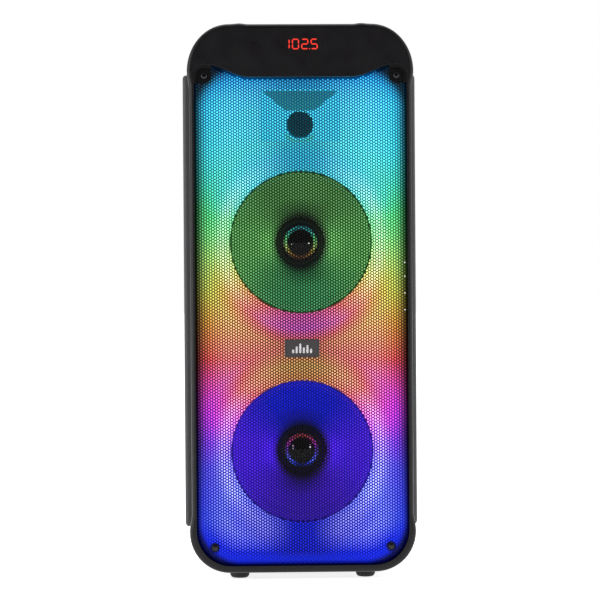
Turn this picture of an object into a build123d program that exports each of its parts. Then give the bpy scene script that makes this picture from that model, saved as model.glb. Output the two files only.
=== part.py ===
from build123d import *
import math
import os

# A floor-standing party speaker: two 8 inch woofers and a horn tweeter behind a lit diffuser and a
# steel grille. Millimetres, +Z up. The listener stands on the -Y side. The origin is the middle of
# the footprint, on the floor.

# ---- Depth stations along Y, from the listener's side to the back ----
FRONT_Y = -155.0
GRILLE_Y = -151.0
DIFFUSER_Y = -140.0
BAFFLE_Y = -130.0
BEZEL_BACK_Y = -110.0
COVER_Y = 140.0
JACK_PANEL_Y = 150.0
BACK_Y = 155.0

# ---- Body outline, seen from the front ----
FOOT_HEIGHT = 9.3
BODY_TOP = 762.0
BULGE = 155.6
WAIST = 152.5
LOW_CORNER = (100.0, 65.0)
TOP_CORNER = (98.0, 697.0)
WAIST_BLEND = 26.0
HUMP_TOP = 763.0
HUMP_X = 82.0
DECK_HALF = 71.0
DECK_TOP = 761.8
EDGE_RADIUS = 5.8
SHELL_WALL = 6.0

# ---- Grille opening in the bezel ----
OPENING_HALF = 146.0
OPENING_LOW = 19.0
OPENING_HIGH = 706.5
TONGUE_Z = 689.3
TONGUE_HALF = 67.5
LOW_RADIUS = 48.0
HIGH_RADIUS = 14.0
GRILLE_SHEET = 1.0
GRILLE_ROLL = 6.5
GRILLE_DEPTH = 9.0
TOP_SCREW = (132.0, 691.0)
TOP_POST = 10.0
LOW_SCREW = (121.0, 44.0)
LOW_POST = 6.0
SCREW_SHANK = 2.0
SHANK_LENGTH = 9.0

# ---- Drivers ----
WOOFERS = {"upper": 463.0, "lower": 175.0}
WINDOW_RADIUS = 98.0
COLLAR_RADIUS = 123.0
COLLAR_RISE = 7.0
FLANGE_RADIUS = 104.5
CONE_RADIUS = 80.0
CAP_RADIUS = 33.0
CAP_RISE = 12.0
COIL_RADIUS = 19.0
TWEETER_Z = 625.0
HORN_WIDTH = 109.0
HORN_LOW = 602.0
HORN_HIGH = 673.0
THROAT_RADIUS = 18.6

# ---- Control deck ----
DECK_CENTRE_Y = -34.0
DECK_LENGTH = 128.0
DECK_WIDTH = 132.0
DECK_FLOOR = 748.5
DECK_SHEET = 2.5
BOARD_TOP = 739.6
KNOB_Y = -50.0
KNOB_TOP = 760.5
BUTTON_Y = -6.0
BUTTON_PITCH = 19.0
SOCKET_Y = 15.0
BUTTON_TRAVEL_GAP = 1.0

# ---- Rear ----
GRIP_Z = 668.0
GRIP_WIDTH = 130.0
GRIP_HEIGHT = 42.0
GRIP_ROUND = 14.0
PORT_Z = 560.0
PORT_RADIUS = 33.0
JACK_Z = 150.0
JACK_WIDTH = 140.0
JACK_HEIGHT = 100.0
SIDE_LOW = 68.0
SIDE_HIGH = 697.0
SIDE_FRONT = -95.0
SIDE_BACK = 120.0
SIDE_X = 161.8
COVER_SCREWS = [(138.0, z) for z in (60.0, 200.0, 340.0, 480.0, 620.0)]
BACKWARD = (0, 1, 0)

os.makedirs("parts", exist_ok=True)


def facing(y):
    """The plane at depth y that faces the listener: local x is +X and local y is +Z."""
    return Plane.XZ.offset(-y)


def save(builder, name):
    """Labels a finished piece and writes it."""
    builder.part.label = name
    export_step(builder.part, f"parts/{name}.step")


def outline(inset=0.0, humps=False):
    """Fills the body's outline: its right half is drawn and mirrored, inset by that much."""
    low_x, low_z = LOW_CORNER
    top_x, top_z = TOP_CORNER
    bulge = BULGE - inset
    waist = WAIST - inset
    with BuildLine() as edge_line:
        Line((0, FOOT_HEIGHT + inset), (low_x, FOOT_HEIGHT + inset))
        EllipticalCenterArc(
            (low_x, low_z), bulge - low_x, low_z - FOOT_HEIGHT - inset, 270, arc_size=90
        )
        Spline(
            (bulge, low_z), (waist, low_z + WAIST_BLEND), tangents=((0, 1), (0, 1))
        )
        Line((waist, low_z + WAIST_BLEND), (waist, top_z - WAIST_BLEND))
        Spline(
            (waist, top_z - WAIST_BLEND), (bulge, top_z), tangents=((0, 1), (0, 1))
        )
        EllipticalCenterArc(
            (top_x, top_z), bulge - top_x, BODY_TOP - top_z - inset, 0, arc_size=90
        )
        if humps:
            Spline(
                (top_x, BODY_TOP), (HUMP_X, HUMP_TOP), (DECK_HALF, DECK_TOP),
                tangents=((-1, 0), (-1, 0)),
            )
            Line((DECK_HALF, DECK_TOP), (0, DECK_TOP))
        else:
            Line((top_x, BODY_TOP - inset), (0, BODY_TOP - inset))
        mirror(about=Plane.YZ)
    make_face(edge_line.edges())


def opening(inset=0.0):
    """Fills the grille opening: round lower corners, and a top edge that dips in the middle."""
    side = OPENING_HALF - inset
    low = OPENING_LOW + inset
    high = OPENING_HIGH - inset
    tongue = TONGUE_Z - inset
    with BuildLine() as edge_line:
        Line((0, low), (OPENING_HALF - LOW_RADIUS, low))
        CenterArc((OPENING_HALF - LOW_RADIUS, OPENING_LOW + LOW_RADIUS), LOW_RADIUS - inset, 270, 90)
        Line((side, OPENING_LOW + LOW_RADIUS), (side, OPENING_HIGH - HIGH_RADIUS))
        CenterArc((OPENING_HALF - HIGH_RADIUS, OPENING_HIGH - HIGH_RADIUS), HIGH_RADIUS - inset, 0, 90)
        Spline(
            (OPENING_HALF - HIGH_RADIUS, high), (TONGUE_HALF, tongue), tangents=((-1, 0), (-1, 0))
        )
        Line((TONGUE_HALF, tongue), (0, tongue))
        mirror(about=Plane.YZ)
    make_face(edge_line.edges())


def driver_profile(z):
    """The plane of a driver's half section: local x is the radius and local y is world Y."""
    return Plane.XY.offset(z)


def driver_axis(z):
    return Axis((0, 0, z), (0, 1, 0))


def ring(inner, outer, front, back):
    """A rectangular half section of a ring, between two radii and two depths."""
    with Locations(((inner + outer) / 2, (front + back) / 2)):
        Rectangle(outer - inner, back - front)


def add_board(width, height, z, y, thickness):
    """A plain board that faces the listener, added where it stands."""
    with Locations((0, y + thickness / 2, z)):
        Box(width, thickness, height)


# ---- Front bezel: the frame with the curved cap above the grille ----
CAP_WALL = 4.0
WINDOW_Z = 734.0
WINDOW_WIDTH = 62.0
WINDOW_HEIGHT = 24.0
WINDOW_THICK = 2.0
FOOT_X = 87.0
FOOT_Y = 120.0
FOOT_STEM = 4.0
STEM_HEIGHT = 5.0
LIP_RADIUS = 0.4


def foot_sockets(y):
    """Blind holes in the bottom wall for the feet's stems."""
    with Locations((-FOOT_X, y, FOOT_HEIGHT + STEM_HEIGHT / 2), (FOOT_X, y, FOOT_HEIGHT + STEM_HEIGHT / 2)):
        Cylinder(FOOT_STEM + 0.05, STEM_HEIGHT + 0.2, mode=Mode.SUBTRACT)


def pairs(x, z):
    """The same place on the left and on the right."""
    return Locations((-x, z), (x, z))


def grille_screw_places():
    """The four grille screws, seen from the front."""
    return [(side * x, z) for x, z in (TOP_SCREW, LOW_SCREW) for side in (-1, 1)]


def top_posts():
    """Outlines of the two upper posts for the grille's screws, webbed to the corner."""
    x, z = TOP_SCREW
    with pairs(x, z):
        Circle(TOP_POST)
    with pairs((x + OPENING_HALF + 2) / 2, z):
        Rectangle(OPENING_HALF + 2 - x, 2 * TOP_POST)
    with pairs(x, (z + OPENING_HIGH + 2) / 2):
        Rectangle(2 * TOP_POST, OPENING_HIGH + 2 - z)


with BuildPart() as front_bezel:
    with BuildSketch(facing(FRONT_Y)):
        outline(humps=True)
    extrude(amount=BEZEL_BACK_Y - FRONT_Y, dir=BACKWARD)
    fillet(front_bezel.faces().sort_by(Axis.Y)[0].outer_wire().edges(), radius=EDGE_RADIUS)
    with BuildSketch(facing(FRONT_Y)):
        opening()
    extrude(amount=BEZEL_BACK_Y - FRONT_Y, dir=BACKWARD, mode=Mode.SUBTRACT)
    lip = front_bezel.faces().sort_by(Axis.Y)[0].inner_wires()[0].edges()
    fillet(lip, radius=LIP_RADIUS)
    with BuildSketch(facing(FRONT_Y + CAP_WALL + 2)):
        outline(inset=CAP_WALL + 2)
        with Locations((0, OPENING_HIGH / 2)):
            Rectangle(400, OPENING_HIGH + 2 * CAP_WALL, mode=Mode.SUBTRACT)
    extrude(amount=BEZEL_BACK_Y - FRONT_Y, dir=BACKWARD, mode=Mode.SUBTRACT)
    with BuildSketch(facing(GRILLE_Y + GRILLE_SHEET + 0.1)):
        top_posts()
    extrude(amount=DIFFUSER_Y - GRILLE_Y - GRILLE_SHEET - 0.2, dir=BACKWARD)
    with BuildSketch(facing(FRONT_Y)):
        with Locations((0, WINDOW_Z)):
            RectangleRounded(WINDOW_WIDTH + 0.2, WINDOW_HEIGHT + 0.2, 3.1)
    extrude(amount=WINDOW_THICK, dir=BACKWARD, mode=Mode.SUBTRACT)
    with BuildSketch(facing(FRONT_Y)):
        with Locations((0, WINDOW_Z)):
            Rectangle(WINDOW_WIDTH - 6, WINDOW_HEIGHT - 6)
    extrude(amount=CAP_WALL + 4, dir=BACKWARD, mode=Mode.SUBTRACT)
    with BuildSketch(facing(FRONT_Y)):
        with pairs(*TOP_SCREW):
            Circle(SCREW_SHANK + 0.05)
    extrude(amount=DIFFUSER_Y - FRONT_Y - 1, dir=BACKWARD, mode=Mode.SUBTRACT)
    foot_sockets(-FOOT_Y)
save(front_bezel, "front_bezel")

# ---- Perforated grille, as a shallow pan of plain sheet with rolled edges ----
EDGE_GAP = 0.4
BADGE_Z = 317.0
BADGE_SIZE = (48.0, 25.0)
BADGE_THICK = 1.6


def pan(inset, front, back, roll):
    """A slab of the opening's shape with its front edge rounded."""
    with BuildPart() as slab:
        with BuildSketch(facing(front)):
            opening(inset)
        extrude(amount=back - front, dir=BACKWARD)
        fillet(slab.faces().sort_by(Axis.Y)[0].edges(), radius=roll)
    return slab.part


grille_outer = pan(EDGE_GAP, GRILLE_Y, GRILLE_Y + GRILLE_DEPTH, GRILLE_ROLL)
grille_inner = pan(
    EDGE_GAP + GRILLE_SHEET, GRILLE_Y + GRILLE_SHEET, GRILLE_Y + GRILLE_DEPTH + 1, GRILLE_ROLL - GRILLE_SHEET
)
with BuildPart() as front_grille:
    add(grille_outer)
    add(grille_inner, mode=Mode.SUBTRACT)
    with BuildSketch(facing(GRILLE_Y - 1)):
        with Locations(*grille_screw_places()):
            Circle(SCREW_SHANK + 0.2)
    extrude(amount=3, dir=BACKWARD, mode=Mode.SUBTRACT)
    # slots in the rolled edge, where the upper posts' webs pass
    with BuildSketch(facing(GRILLE_Y + GRILLE_SHEET)):
        with pairs(OPENING_HALF - 4, TOP_SCREW[1]):
            Rectangle(24, 2 * TOP_POST + 1)
        with pairs(TOP_SCREW[0], OPENING_HIGH - 2):
            Rectangle(2 * TOP_POST + 1, 24)
    extrude(amount=GRILLE_DEPTH, dir=BACKWARD, mode=Mode.SUBTRACT)
save(front_grille, "front_grille")

SCREW_HEAD = 4.2
HEAD_HEIGHT = 2.2
with BuildPart() as grille_screws:
    with BuildSketch(facing(GRILLE_Y - HEAD_HEIGHT)):
        with Locations(*grille_screw_places()):
            Circle(SCREW_HEAD)
    extrude(amount=HEAD_HEIGHT, dir=BACKWARD)
    with BuildSketch(facing(GRILLE_Y)):
        with Locations(*grille_screw_places()):
            Circle(SCREW_SHANK)
    extrude(amount=SHANK_LENGTH, dir=BACKWARD)
    heads = grille_screws.edges().filter_by(GeomType.CIRCLE).group_by(Axis.Y)[0]
    fillet(heads, radius=1.4)
save(grille_screws, "grille_screws")

with BuildPart() as badge_plate:
    with BuildSketch(facing(GRILLE_Y - BADGE_THICK)):
        with Locations((0, BADGE_Z)):
            RectangleRounded(*BADGE_SIZE, 1.5)
    extrude(amount=BADGE_THICK, dir=BACKWARD)
    chamfer(badge_plate.faces().sort_by(Axis.Y)[0].edges(), length=0.5)
save(badge_plate, "badge_plate")

# ---- Display behind its smoked window ----
with BuildPart() as display_window:
    with BuildSketch(facing(FRONT_Y)):
        with Locations((0, WINDOW_Z)):
            RectangleRounded(WINDOW_WIDTH, WINDOW_HEIGHT, 3)
    extrude(amount=WINDOW_THICK, dir=BACKWARD)
save(display_window, "display_window")

with BuildPart() as display_module:
    add_board(WINDOW_WIDTH - 8, WINDOW_HEIGHT - 8, WINDOW_Z, FRONT_Y + WINDOW_THICK + 0.6, 8)
    add_board(WINDOW_WIDTH + 12, WINDOW_HEIGHT + 6, WINDOW_Z, FRONT_Y + WINDOW_THICK + 8.6, 1.6)
save(display_module, "display_module")

# ---- Milky diffuser with a flared collar round each woofer ----
DIFFUSER_THICK = 3.0
with BuildPart() as light_diffuser:
    with BuildSketch(facing(DIFFUSER_Y)):
        opening(1.0)
    extrude(amount=DIFFUSER_THICK, dir=BACKWARD)
    for woofer_z in WOOFERS.values():
        with BuildSketch(driver_profile(woofer_z)):
            with BuildLine():
                Polyline(
                    (WINDOW_RADIUS - 2, DIFFUSER_Y + 1),
                    (WINDOW_RADIUS - 2, DIFFUSER_Y - COLLAR_RISE),
                    (WINDOW_RADIUS + 1, DIFFUSER_Y - COLLAR_RISE),
                    (COLLAR_RADIUS, DIFFUSER_Y + 0.2),
                    (COLLAR_RADIUS - 1, DIFFUSER_Y + 1),
                    close=True,
                )
            make_face()
        revolve(axis=driver_axis(woofer_z))
        with BuildSketch(facing(FRONT_Y)):
            with Locations((0, woofer_z)):
                Circle(WINDOW_RADIUS)
        extrude(amount=30, dir=BACKWARD, mode=Mode.SUBTRACT)
    with BuildSketch(facing(FRONT_Y)):
        with Locations((0, (HORN_LOW + HORN_HIGH) / 2)):
            Rectangle(HORN_WIDTH + 0.4, HORN_HIGH - HORN_LOW + 0.4)
        with pairs(*LOW_SCREW):
            Circle(LOW_POST + 0.3)
    extrude(amount=30, dir=BACKWARD, mode=Mode.SUBTRACT)
save(light_diffuser, "light_diffuser")

# ---- LED strips behind the diffuser's sides ----
LED_X = 132.0
LED_PITCH = 24.0
LED_COUNT = 26
LED_SIZE = 5.0
STRIP_Z = 360.0
STRIP_WIDTH = 11.0
STRIP_THICK = 1.6
STRIP_Y = -134.0
with BuildPart() as led_strips:
    with BuildSketch(facing(STRIP_Y)):
        with pairs(LED_X, STRIP_Z):
            Rectangle(STRIP_WIDTH, LED_PITCH * LED_COUNT - 2)
    extrude(amount=STRIP_THICK, dir=BACKWARD)
    with BuildSketch(facing(STRIP_Y - 1.6)):
        with pairs(LED_X, STRIP_Z):
            with GridLocations(1, LED_PITCH, 1, LED_COUNT):
                Rectangle(LED_SIZE, LED_SIZE)
    extrude(amount=1.6, dir=BACKWARD)
save(led_strips, "led_strips")

# ---- Baffle that carries the drivers, and the grille's lower posts ----
BAFFLE_THICK = 12.0
BASKET_HOLE = 90.0
SCREW_CIRCLE = 99.5
with BuildPart() as front_baffle:
    with BuildSketch(facing(BAFFLE_Y)):
        opening(0.3)
        with Locations(*[(0, woofer_z) for woofer_z in WOOFERS.values()]):
            Circle(BASKET_HOLE, mode=Mode.SUBTRACT)
        with Locations((0, (HORN_LOW + HORN_HIGH) / 2)):
            Rectangle(HORN_WIDTH - 7, HORN_HIGH - HORN_LOW + 1, mode=Mode.SUBTRACT)
    extrude(amount=BAFFLE_THICK, dir=BACKWARD)
    with BuildSketch(facing(GRILLE_Y + GRILLE_SHEET + 0.1)):
        with pairs(*LOW_SCREW):
            Circle(LOW_POST)
    extrude(amount=BAFFLE_Y - GRILLE_Y - GRILLE_SHEET, dir=BACKWARD)
    with BuildSketch(facing(GRILLE_Y)):
        with pairs(*LOW_SCREW):
            Circle(SCREW_SHANK + 0.05)
    extrude(amount=SHANK_LENGTH + 1, dir=BACKWARD, mode=Mode.SUBTRACT)
    with BuildSketch(facing(BAFFLE_Y)):
        for woofer_z in WOOFERS.values():
            with Locations((0, woofer_z)):
                with PolarLocations(SCREW_CIRCLE, 8, start_angle=22.5):
                    Circle(SCREW_SHANK)
    extrude(amount=BAFFLE_THICK, dir=BACKWARD, mode=Mode.SUBTRACT)
save(front_baffle, "front_baffle")

# ---- Woofers ----
BASKET_WINDOW = 74.0
SCREW_HEAD_RADIUS = 3.2
RIM_Y = -133.2
NECK_Y = -97.0
CONE_WALL = 1.2
CONE_SLOPE = (NECK_Y - RIM_Y) / (CONE_RADIUS - COIL_RADIUS - 0.7)


def cone_front(radius):
    """Depth of the cone's front face at a radius."""
    return RIM_Y + (CONE_RADIUS - radius) * CONE_SLOPE


def make_basket(name, z):
    with BuildPart() as basket:
        with BuildSketch(driver_profile(z)):
            with BuildLine():
                Polyline(
                    (FLANGE_RADIUS, -133.0), (84.5, -133.0), (84.5, -129.0), (61.0, -94.0), (48.0, -94.0),
                    (48.0, -80.0), (24.0, -80.0), (24.0, -78.0), (50.0, -78.0), (50.0, -92.0),
                    (62.3, -92.0), (87.0, -130.0), (FLANGE_RADIUS, -130.0), close=True,
                )
            make_face()
        revolve(axis=driver_axis(z))
        with BuildSketch(facing(-126)):
            with Locations((0, z)):
                with PolarLocations(BASKET_WINDOW, 6):
                    Rectangle(40, 34)
        extrude(amount=28, dir=BACKWARD, mode=Mode.SUBTRACT)
        with BuildSketch(facing(-134)):
            with Locations((0, z)):
                with PolarLocations(SCREW_CIRCLE, 8, start_angle=22.5):
                    Circle(SCREW_SHANK + 0.3)
        extrude(amount=5, dir=BACKWARD, mode=Mode.SUBTRACT)
    save(basket, name)


def make_surround(name, z):
    """A half roll of rubber with a flat lip on the frame and one on the cone's rim."""
    roll_in, roll_out = 82.0, 94.0
    lip = -134.2
    with BuildPart() as surround:
        with BuildSketch(driver_profile(z)):
            with BuildLine():
                Line((CONE_RADIUS - 3, lip), (roll_in, lip))
                ThreePointArc((roll_in, lip), ((roll_in + roll_out) / 2, lip - 6), (roll_out, lip))
                Polyline((roll_out, lip), (96, lip), (96, lip + 1), (roll_out - 1, lip + 1))
                ThreePointArc(
                    (roll_out - 1, lip + 1), ((roll_in + roll_out) / 2, lip - 5), (roll_in + 1, lip + 1)
                )
                Polyline((roll_in + 1, lip + 1), (CONE_RADIUS - 3, lip + 1), (CONE_RADIUS - 3, lip))
            make_face()
        revolve(axis=driver_axis(z))
    save(surround, name)


def make_cone(name, z):
    inner = COIL_RADIUS + 0.7
    outer = CONE_RADIUS - 0.5
    with BuildPart() as cone:
        with BuildSketch(driver_profile(z)):
            with BuildLine():
                Polyline(
                    (inner, cone_front(inner)), (outer, cone_front(outer)),
                    (outer, cone_front(outer) + CONE_WALL), (inner, cone_front(inner) + CONE_WALL),
                    close=True,
                )
            make_face()
        revolve(axis=driver_axis(z))
    save(cone, name)


def dome_face(radius, rise, edge, thick):
    """Fills the half section of a spherical shell whose rim has that radius and depth."""
    sphere = (radius**2 + rise**2) / (2 * rise)
    centre = edge - rise + sphere
    sweep = math.degrees(math.asin(radius / sphere))
    with BuildLine() as dome_line:
        outside = CenterArc((0, centre), sphere, -90, sweep)
        inside = CenterArc((0, centre), sphere - thick, -90, sweep)
        Line(outside @ 0, inside @ 0)
        Line(outside @ 1, inside @ 1)
    make_face(dome_line.edges())


def make_dust_cap(name, z):
    with BuildPart() as cap:
        with BuildSketch(driver_profile(z)):
            dome_face(CAP_RADIUS + 1, CAP_RISE, cone_front(CAP_RADIUS + 1) - 0.45, 1.0)
        revolve(axis=driver_axis(z))
    save(cap, name)


def make_voice_coil(name, z):
    """Former with its winding in the magnet's gap."""
    with BuildPart() as coil:
        with BuildSketch(driver_profile(z)):
            ring(COIL_RADIUS, COIL_RADIUS + 0.6, NECK_Y - 2, -66.0)
            ring(COIL_RADIUS, COIL_RADIUS + 1.3, -80.0, -68.0)
        revolve(axis=driver_axis(z))
    save(coil, name)


def make_spider(name, z):
    """A corrugated disc between the former and the basket's shelf."""
    inner, outer, middle, swing = COIL_RADIUS + 0.7, 59.0, -94.9, 0.8
    waves, steps, thick = 4, 24, 0.6
    front = []
    for step in range(steps + 1):
        share = step / steps
        flat = min(1.0, 8 * (1 - share))
        wave = flat * math.sin(2 * math.pi * waves * share) + 1 - flat
        front.append((inner + (outer - inner) * share, middle - thick + swing * wave))
    back = [(radius, depth + thick) for radius, depth in reversed(front)]
    with BuildPart() as spider:
        with BuildSketch(driver_profile(z)):
            with BuildLine():
                Spline(*front)
                Line(front[-1], back[0])
                Spline(*back)
                Line(back[-1], front[0])
            make_face()
        revolve(axis=driver_axis(z))
    save(spider, name)


for woofer, woofer_z in WOOFERS.items():
    make_basket(f"{woofer}_basket", woofer_z)
    make_surround(f"{woofer}_surround", woofer_z)
    make_cone(f"{woofer}_cone", woofer_z)
    make_dust_cap(f"{woofer}_dust_cap", woofer_z)
    make_voice_coil(f"{woofer}_voice_coil", woofer_z)
    make_spider(f"{woofer}_spider", woofer_z)

PLATE_FRONT = -78.0
MAGNET_FRONT = -72.0
MAGNET_BACK = -54.0
MAGNET_RADIUS = 54.0
PLATE_RADIUS = 46.0
PLATE_BACK = -48.0
with BuildPart() as woofer_magnets:
    for woofer_z in WOOFERS.values():
        with BuildSketch(driver_profile(woofer_z)):
            ring(26, MAGNET_RADIUS, MAGNET_FRONT, MAGNET_BACK)
        revolve(axis=driver_axis(woofer_z))
    chamfer(woofer_magnets.faces().filter_by(Axis.Y).sort_by(Axis.Y)[-2:].edges(), length=1.0)
save(woofer_magnets, "woofer_magnets")

# Front plate, and back plate with the pole: steel pieces that hold each magnet between them
with BuildPart() as woofer_pole_plates:
    for woofer_z in WOOFERS.values():
        with BuildSketch(driver_profile(woofer_z)):
            ring(COIL_RADIUS + 2.0, PLATE_RADIUS, PLATE_FRONT, MAGNET_FRONT)
            ring(0, COIL_RADIUS - 0.8, PLATE_FRONT, PLATE_BACK)
            ring(0, PLATE_RADIUS, MAGNET_BACK, PLATE_BACK)
        revolve(axis=driver_axis(woofer_z))
save(woofer_pole_plates, "woofer_pole_plates")

with BuildPart() as woofer_screws:
    for woofer_z in WOOFERS.values():
        with BuildSketch(facing(-135.2)):
            with Locations((0, woofer_z)):
                with PolarLocations(SCREW_CIRCLE + 0.6, 8, start_angle=22.5):
                    Circle(SCREW_HEAD_RADIUS)
        extrude(amount=2.2, dir=BACKWARD)
        with BuildSketch(facing(-133)):
            with Locations((0, woofer_z)):
                with PolarLocations(SCREW_CIRCLE, 8, start_angle=22.5):
                    Circle(SCREW_SHANK - 0.05)
        extrude(amount=14, dir=BACKWARD)
save(woofer_screws, "woofer_screws")

# ---- Tweeter: four-sided horn, driver and dome ----
HORN_WALL = 2.0
THROAT_Y = -120.0
THROAT_SQUARE = 2 * THROAT_RADIUS + 1


def horn_form(wall):
    """A four-sided funnel from mouth to throat. With a wall of zero it is the hollow, which ends inside."""
    mouth_loss = 2 * (HORN_WALL - wall)
    with BuildPart() as form:
        with BuildSketch(facing(DIFFUSER_Y)):
            with Locations((0, (HORN_LOW + HORN_HIGH) / 2)):
                Rectangle(HORN_WIDTH - mouth_loss, HORN_HIGH - HORN_LOW - mouth_loss)
        with BuildSketch(facing(THROAT_Y)):
            with Locations((0, TWEETER_Z)):
                Rectangle(THROAT_SQUARE + 2 * wall, THROAT_SQUARE + 2 * wall)
        loft(ruled=True)
    return form.part


horn_outside = horn_form(HORN_WALL)
horn_inside = horn_form(0.0)
with BuildPart() as tweeter_horn:
    add(horn_outside)
    add(horn_inside, mode=Mode.SUBTRACT)
    with BuildSketch(facing(THROAT_Y - 2)):
        with Locations((0, TWEETER_Z)):
            Rectangle(THROAT_SQUARE + 2, THROAT_SQUARE + 2)
            Circle(THROAT_RADIUS, mode=Mode.SUBTRACT)
    extrude(amount=2, dir=BACKWARD)
save(tweeter_horn, "tweeter_horn")

with BuildPart() as tweeter_dome:
    with BuildSketch(driver_profile(TWEETER_Z)):
        dome_face(THROAT_RADIUS - 0.4, 6.0, THROAT_Y + 0.6, 0.8)
    revolve(axis=driver_axis(TWEETER_Z))
save(tweeter_dome, "tweeter_dome")

with BuildPart() as tweeter_driver:
    with BuildSketch(driver_profile(TWEETER_Z)):
        ring(0, 27, -118.0, -96.0)
        ring(0, 22, -96.0, -92.0)
    revolve(axis=driver_axis(TWEETER_Z))
    chamfer(tweeter_driver.edges().filter_by(GeomType.CIRCLE).sort_by(Axis.Y)[-1:], length=1.5)
save(tweeter_driver, "tweeter_driver")

# ---- Cabinet shell ----
SEAT_GAP = 3.0
PLATE_STEP = 1.5
RIM_WIDTH = 3.0
BOSS_RADIUS = 6.0
PILOT_RADIUS = 1.6


def deck_slot(grow, low, high):
    """Cuts a rectangular hole for the deck, between two heights."""
    with BuildSketch(Plane.XY.offset(low)) as slot:
        with Locations((0, DECK_CENTRE_Y)):
            RectangleRounded(DECK_WIDTH + 2 * grow, DECK_LENGTH + 2 * grow, 8 + grow)
    extrude(slot.sketch, amount=high - low, mode=Mode.SUBTRACT)


def cover_screw_places():
    """The rear cover's ten screws, seen from the front."""
    return [(side * x, z) for x, z in COVER_SCREWS for side in (-1, 1)]


with BuildPart() as cabinet_shell:
    with BuildSketch(facing(BEZEL_BACK_Y)):
        outline(humps=True)
    extrude(amount=COVER_Y - BEZEL_BACK_Y, dir=BACKWARD)
    with BuildSketch(facing(BEZEL_BACK_Y)):
        outline(inset=SHELL_WALL)
    extrude(amount=COVER_Y - BEZEL_BACK_Y, dir=BACKWARD, mode=Mode.SUBTRACT)
    with BuildSketch(facing(COVER_Y - 40)):
        for boss_x, boss_z in cover_screw_places():
            with Locations((boss_x, boss_z)):
                Circle(BOSS_RADIUS)
            with Locations((math.copysign(boss_x + math.copysign(6, boss_x), boss_x), boss_z)):
                Rectangle(12, 2 * BOSS_RADIUS)
    extrude(amount=40, dir=BACKWARD)
    with BuildSketch(facing(COVER_Y - 25)):
        with Locations(*cover_screw_places()):
            Circle(PILOT_RADIUS)
    extrude(amount=25, dir=BACKWARD, mode=Mode.SUBTRACT)
    for side in (-1, 1):
        with Locations((side * (WAIST + 10), (SIDE_FRONT + SIDE_BACK) / 2, (SIDE_LOW + SIDE_HIGH) / 2)):
            Box(20, SIDE_BACK - SIDE_FRONT + 1, SIDE_HIGH - SIDE_LOW + 2 * SEAT_GAP, mode=Mode.SUBTRACT)
    deck_slot(0.3, BODY_TOP - 20, HUMP_TOP + 5)
    deck_slot(RIM_WIDTH + 0.3, DECK_TOP - PLATE_STEP, HUMP_TOP + 5)
    foot_sockets(FOOT_Y)
save(cabinet_shell, "cabinet_shell")

# ---- Side panels ----
PANEL_ROUND = 5.0
PANEL_SKIN = 3.0
PANEL_RIM = 16.0
panel_middle = ((SIDE_FRONT + SIDE_BACK) / 2, (SIDE_LOW + SIDE_HIGH) / 2)
for panel_name, side in (("side_panel_left", -1), ("side_panel_right", 1)):
    with BuildPart() as side_panel:
        with Locations((side * (WAIST + SIDE_X) / 2, *panel_middle)):
            Box(SIDE_X - WAIST, SIDE_BACK - SIDE_FRONT, SIDE_HIGH - SIDE_LOW)
        fillet(side_panel.edges().filter_by(Axis.X), radius=9.0)
        outer_face = side_panel.faces().sort_by(Axis.X)[-1 if side > 0 else 0]
        fillet(outer_face.edges(), radius=PANEL_ROUND)
        with Locations((side * (WAIST + (SIDE_X - WAIST - PANEL_SKIN) / 2), *panel_middle)):
            Box(
                SIDE_X - WAIST - PANEL_SKIN,
                SIDE_BACK - SIDE_FRONT - PANEL_RIM,
                SIDE_HIGH - SIDE_LOW - PANEL_RIM,
                mode=Mode.SUBTRACT,
            )
    save(side_panel, panel_name)

# ---- Rear cover ----
HEAD_SINK = 3.0
HEAD_RADIUS = 3.8
JACK_LEDGE = 8.0
PORT_FLANGE = 44.0
FLANGE_SINK = 2.5
with BuildPart() as rear_cover:
    with BuildSketch(facing(COVER_Y)):
        outline(humps=True)
    extrude(amount=BACK_Y - COVER_Y, dir=BACKWARD)
    fillet(rear_cover.faces().sort_by(Axis.Y)[-1].outer_wire().edges(), radius=EDGE_RADIUS)
    with BuildSketch(facing(COVER_Y)):
        outline(inset=SHELL_WALL)
    extrude(amount=JACK_PANEL_Y - COVER_Y, dir=BACKWARD, mode=Mode.SUBTRACT)
    with BuildSketch(facing(COVER_Y)):
        with Locations(*cover_screw_places()):
            Circle(BOSS_RADIUS)
    extrude(amount=JACK_PANEL_Y - COVER_Y, dir=BACKWARD)
    with BuildSketch(facing(COVER_Y)):
        with Locations(*cover_screw_places()):
            Circle(SCREW_SHANK + 0.2)
        with Locations((0, GRIP_Z)):
            RectangleRounded(GRIP_WIDTH, GRIP_HEIGHT, GRIP_ROUND)
        with Locations((0, PORT_Z)):
            Circle(PORT_RADIUS + 3.2)
        with Locations((0, JACK_Z)):
            RectangleRounded(JACK_WIDTH, JACK_HEIGHT, 5)
    extrude(amount=BACK_Y - COVER_Y, dir=BACKWARD, mode=Mode.SUBTRACT)
    with BuildSketch(facing(BACK_Y - HEAD_SINK)):
        with Locations(*cover_screw_places()):
            Circle(HEAD_RADIUS + 0.3)
    extrude(amount=HEAD_SINK, dir=BACKWARD, mode=Mode.SUBTRACT)
    with BuildSketch(facing(BACK_Y - FLANGE_SINK)):
        with Locations((0, PORT_Z)):
            Circle(PORT_FLANGE + 0.3)
    extrude(amount=FLANGE_SINK, dir=BACKWARD, mode=Mode.SUBTRACT)
    grip_mouth = [
        edge
        for edge in rear_cover.faces().sort_by(Axis.Y)[-1].inner_wires().sort_by(Axis.Z)[-3:]
        if edge.length > 2 * GRIP_WIDTH
    ]
    fillet([edge for wire in grip_mouth for edge in wire.edges()], radius=2.0)
save(rear_cover, "rear_cover")

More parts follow.
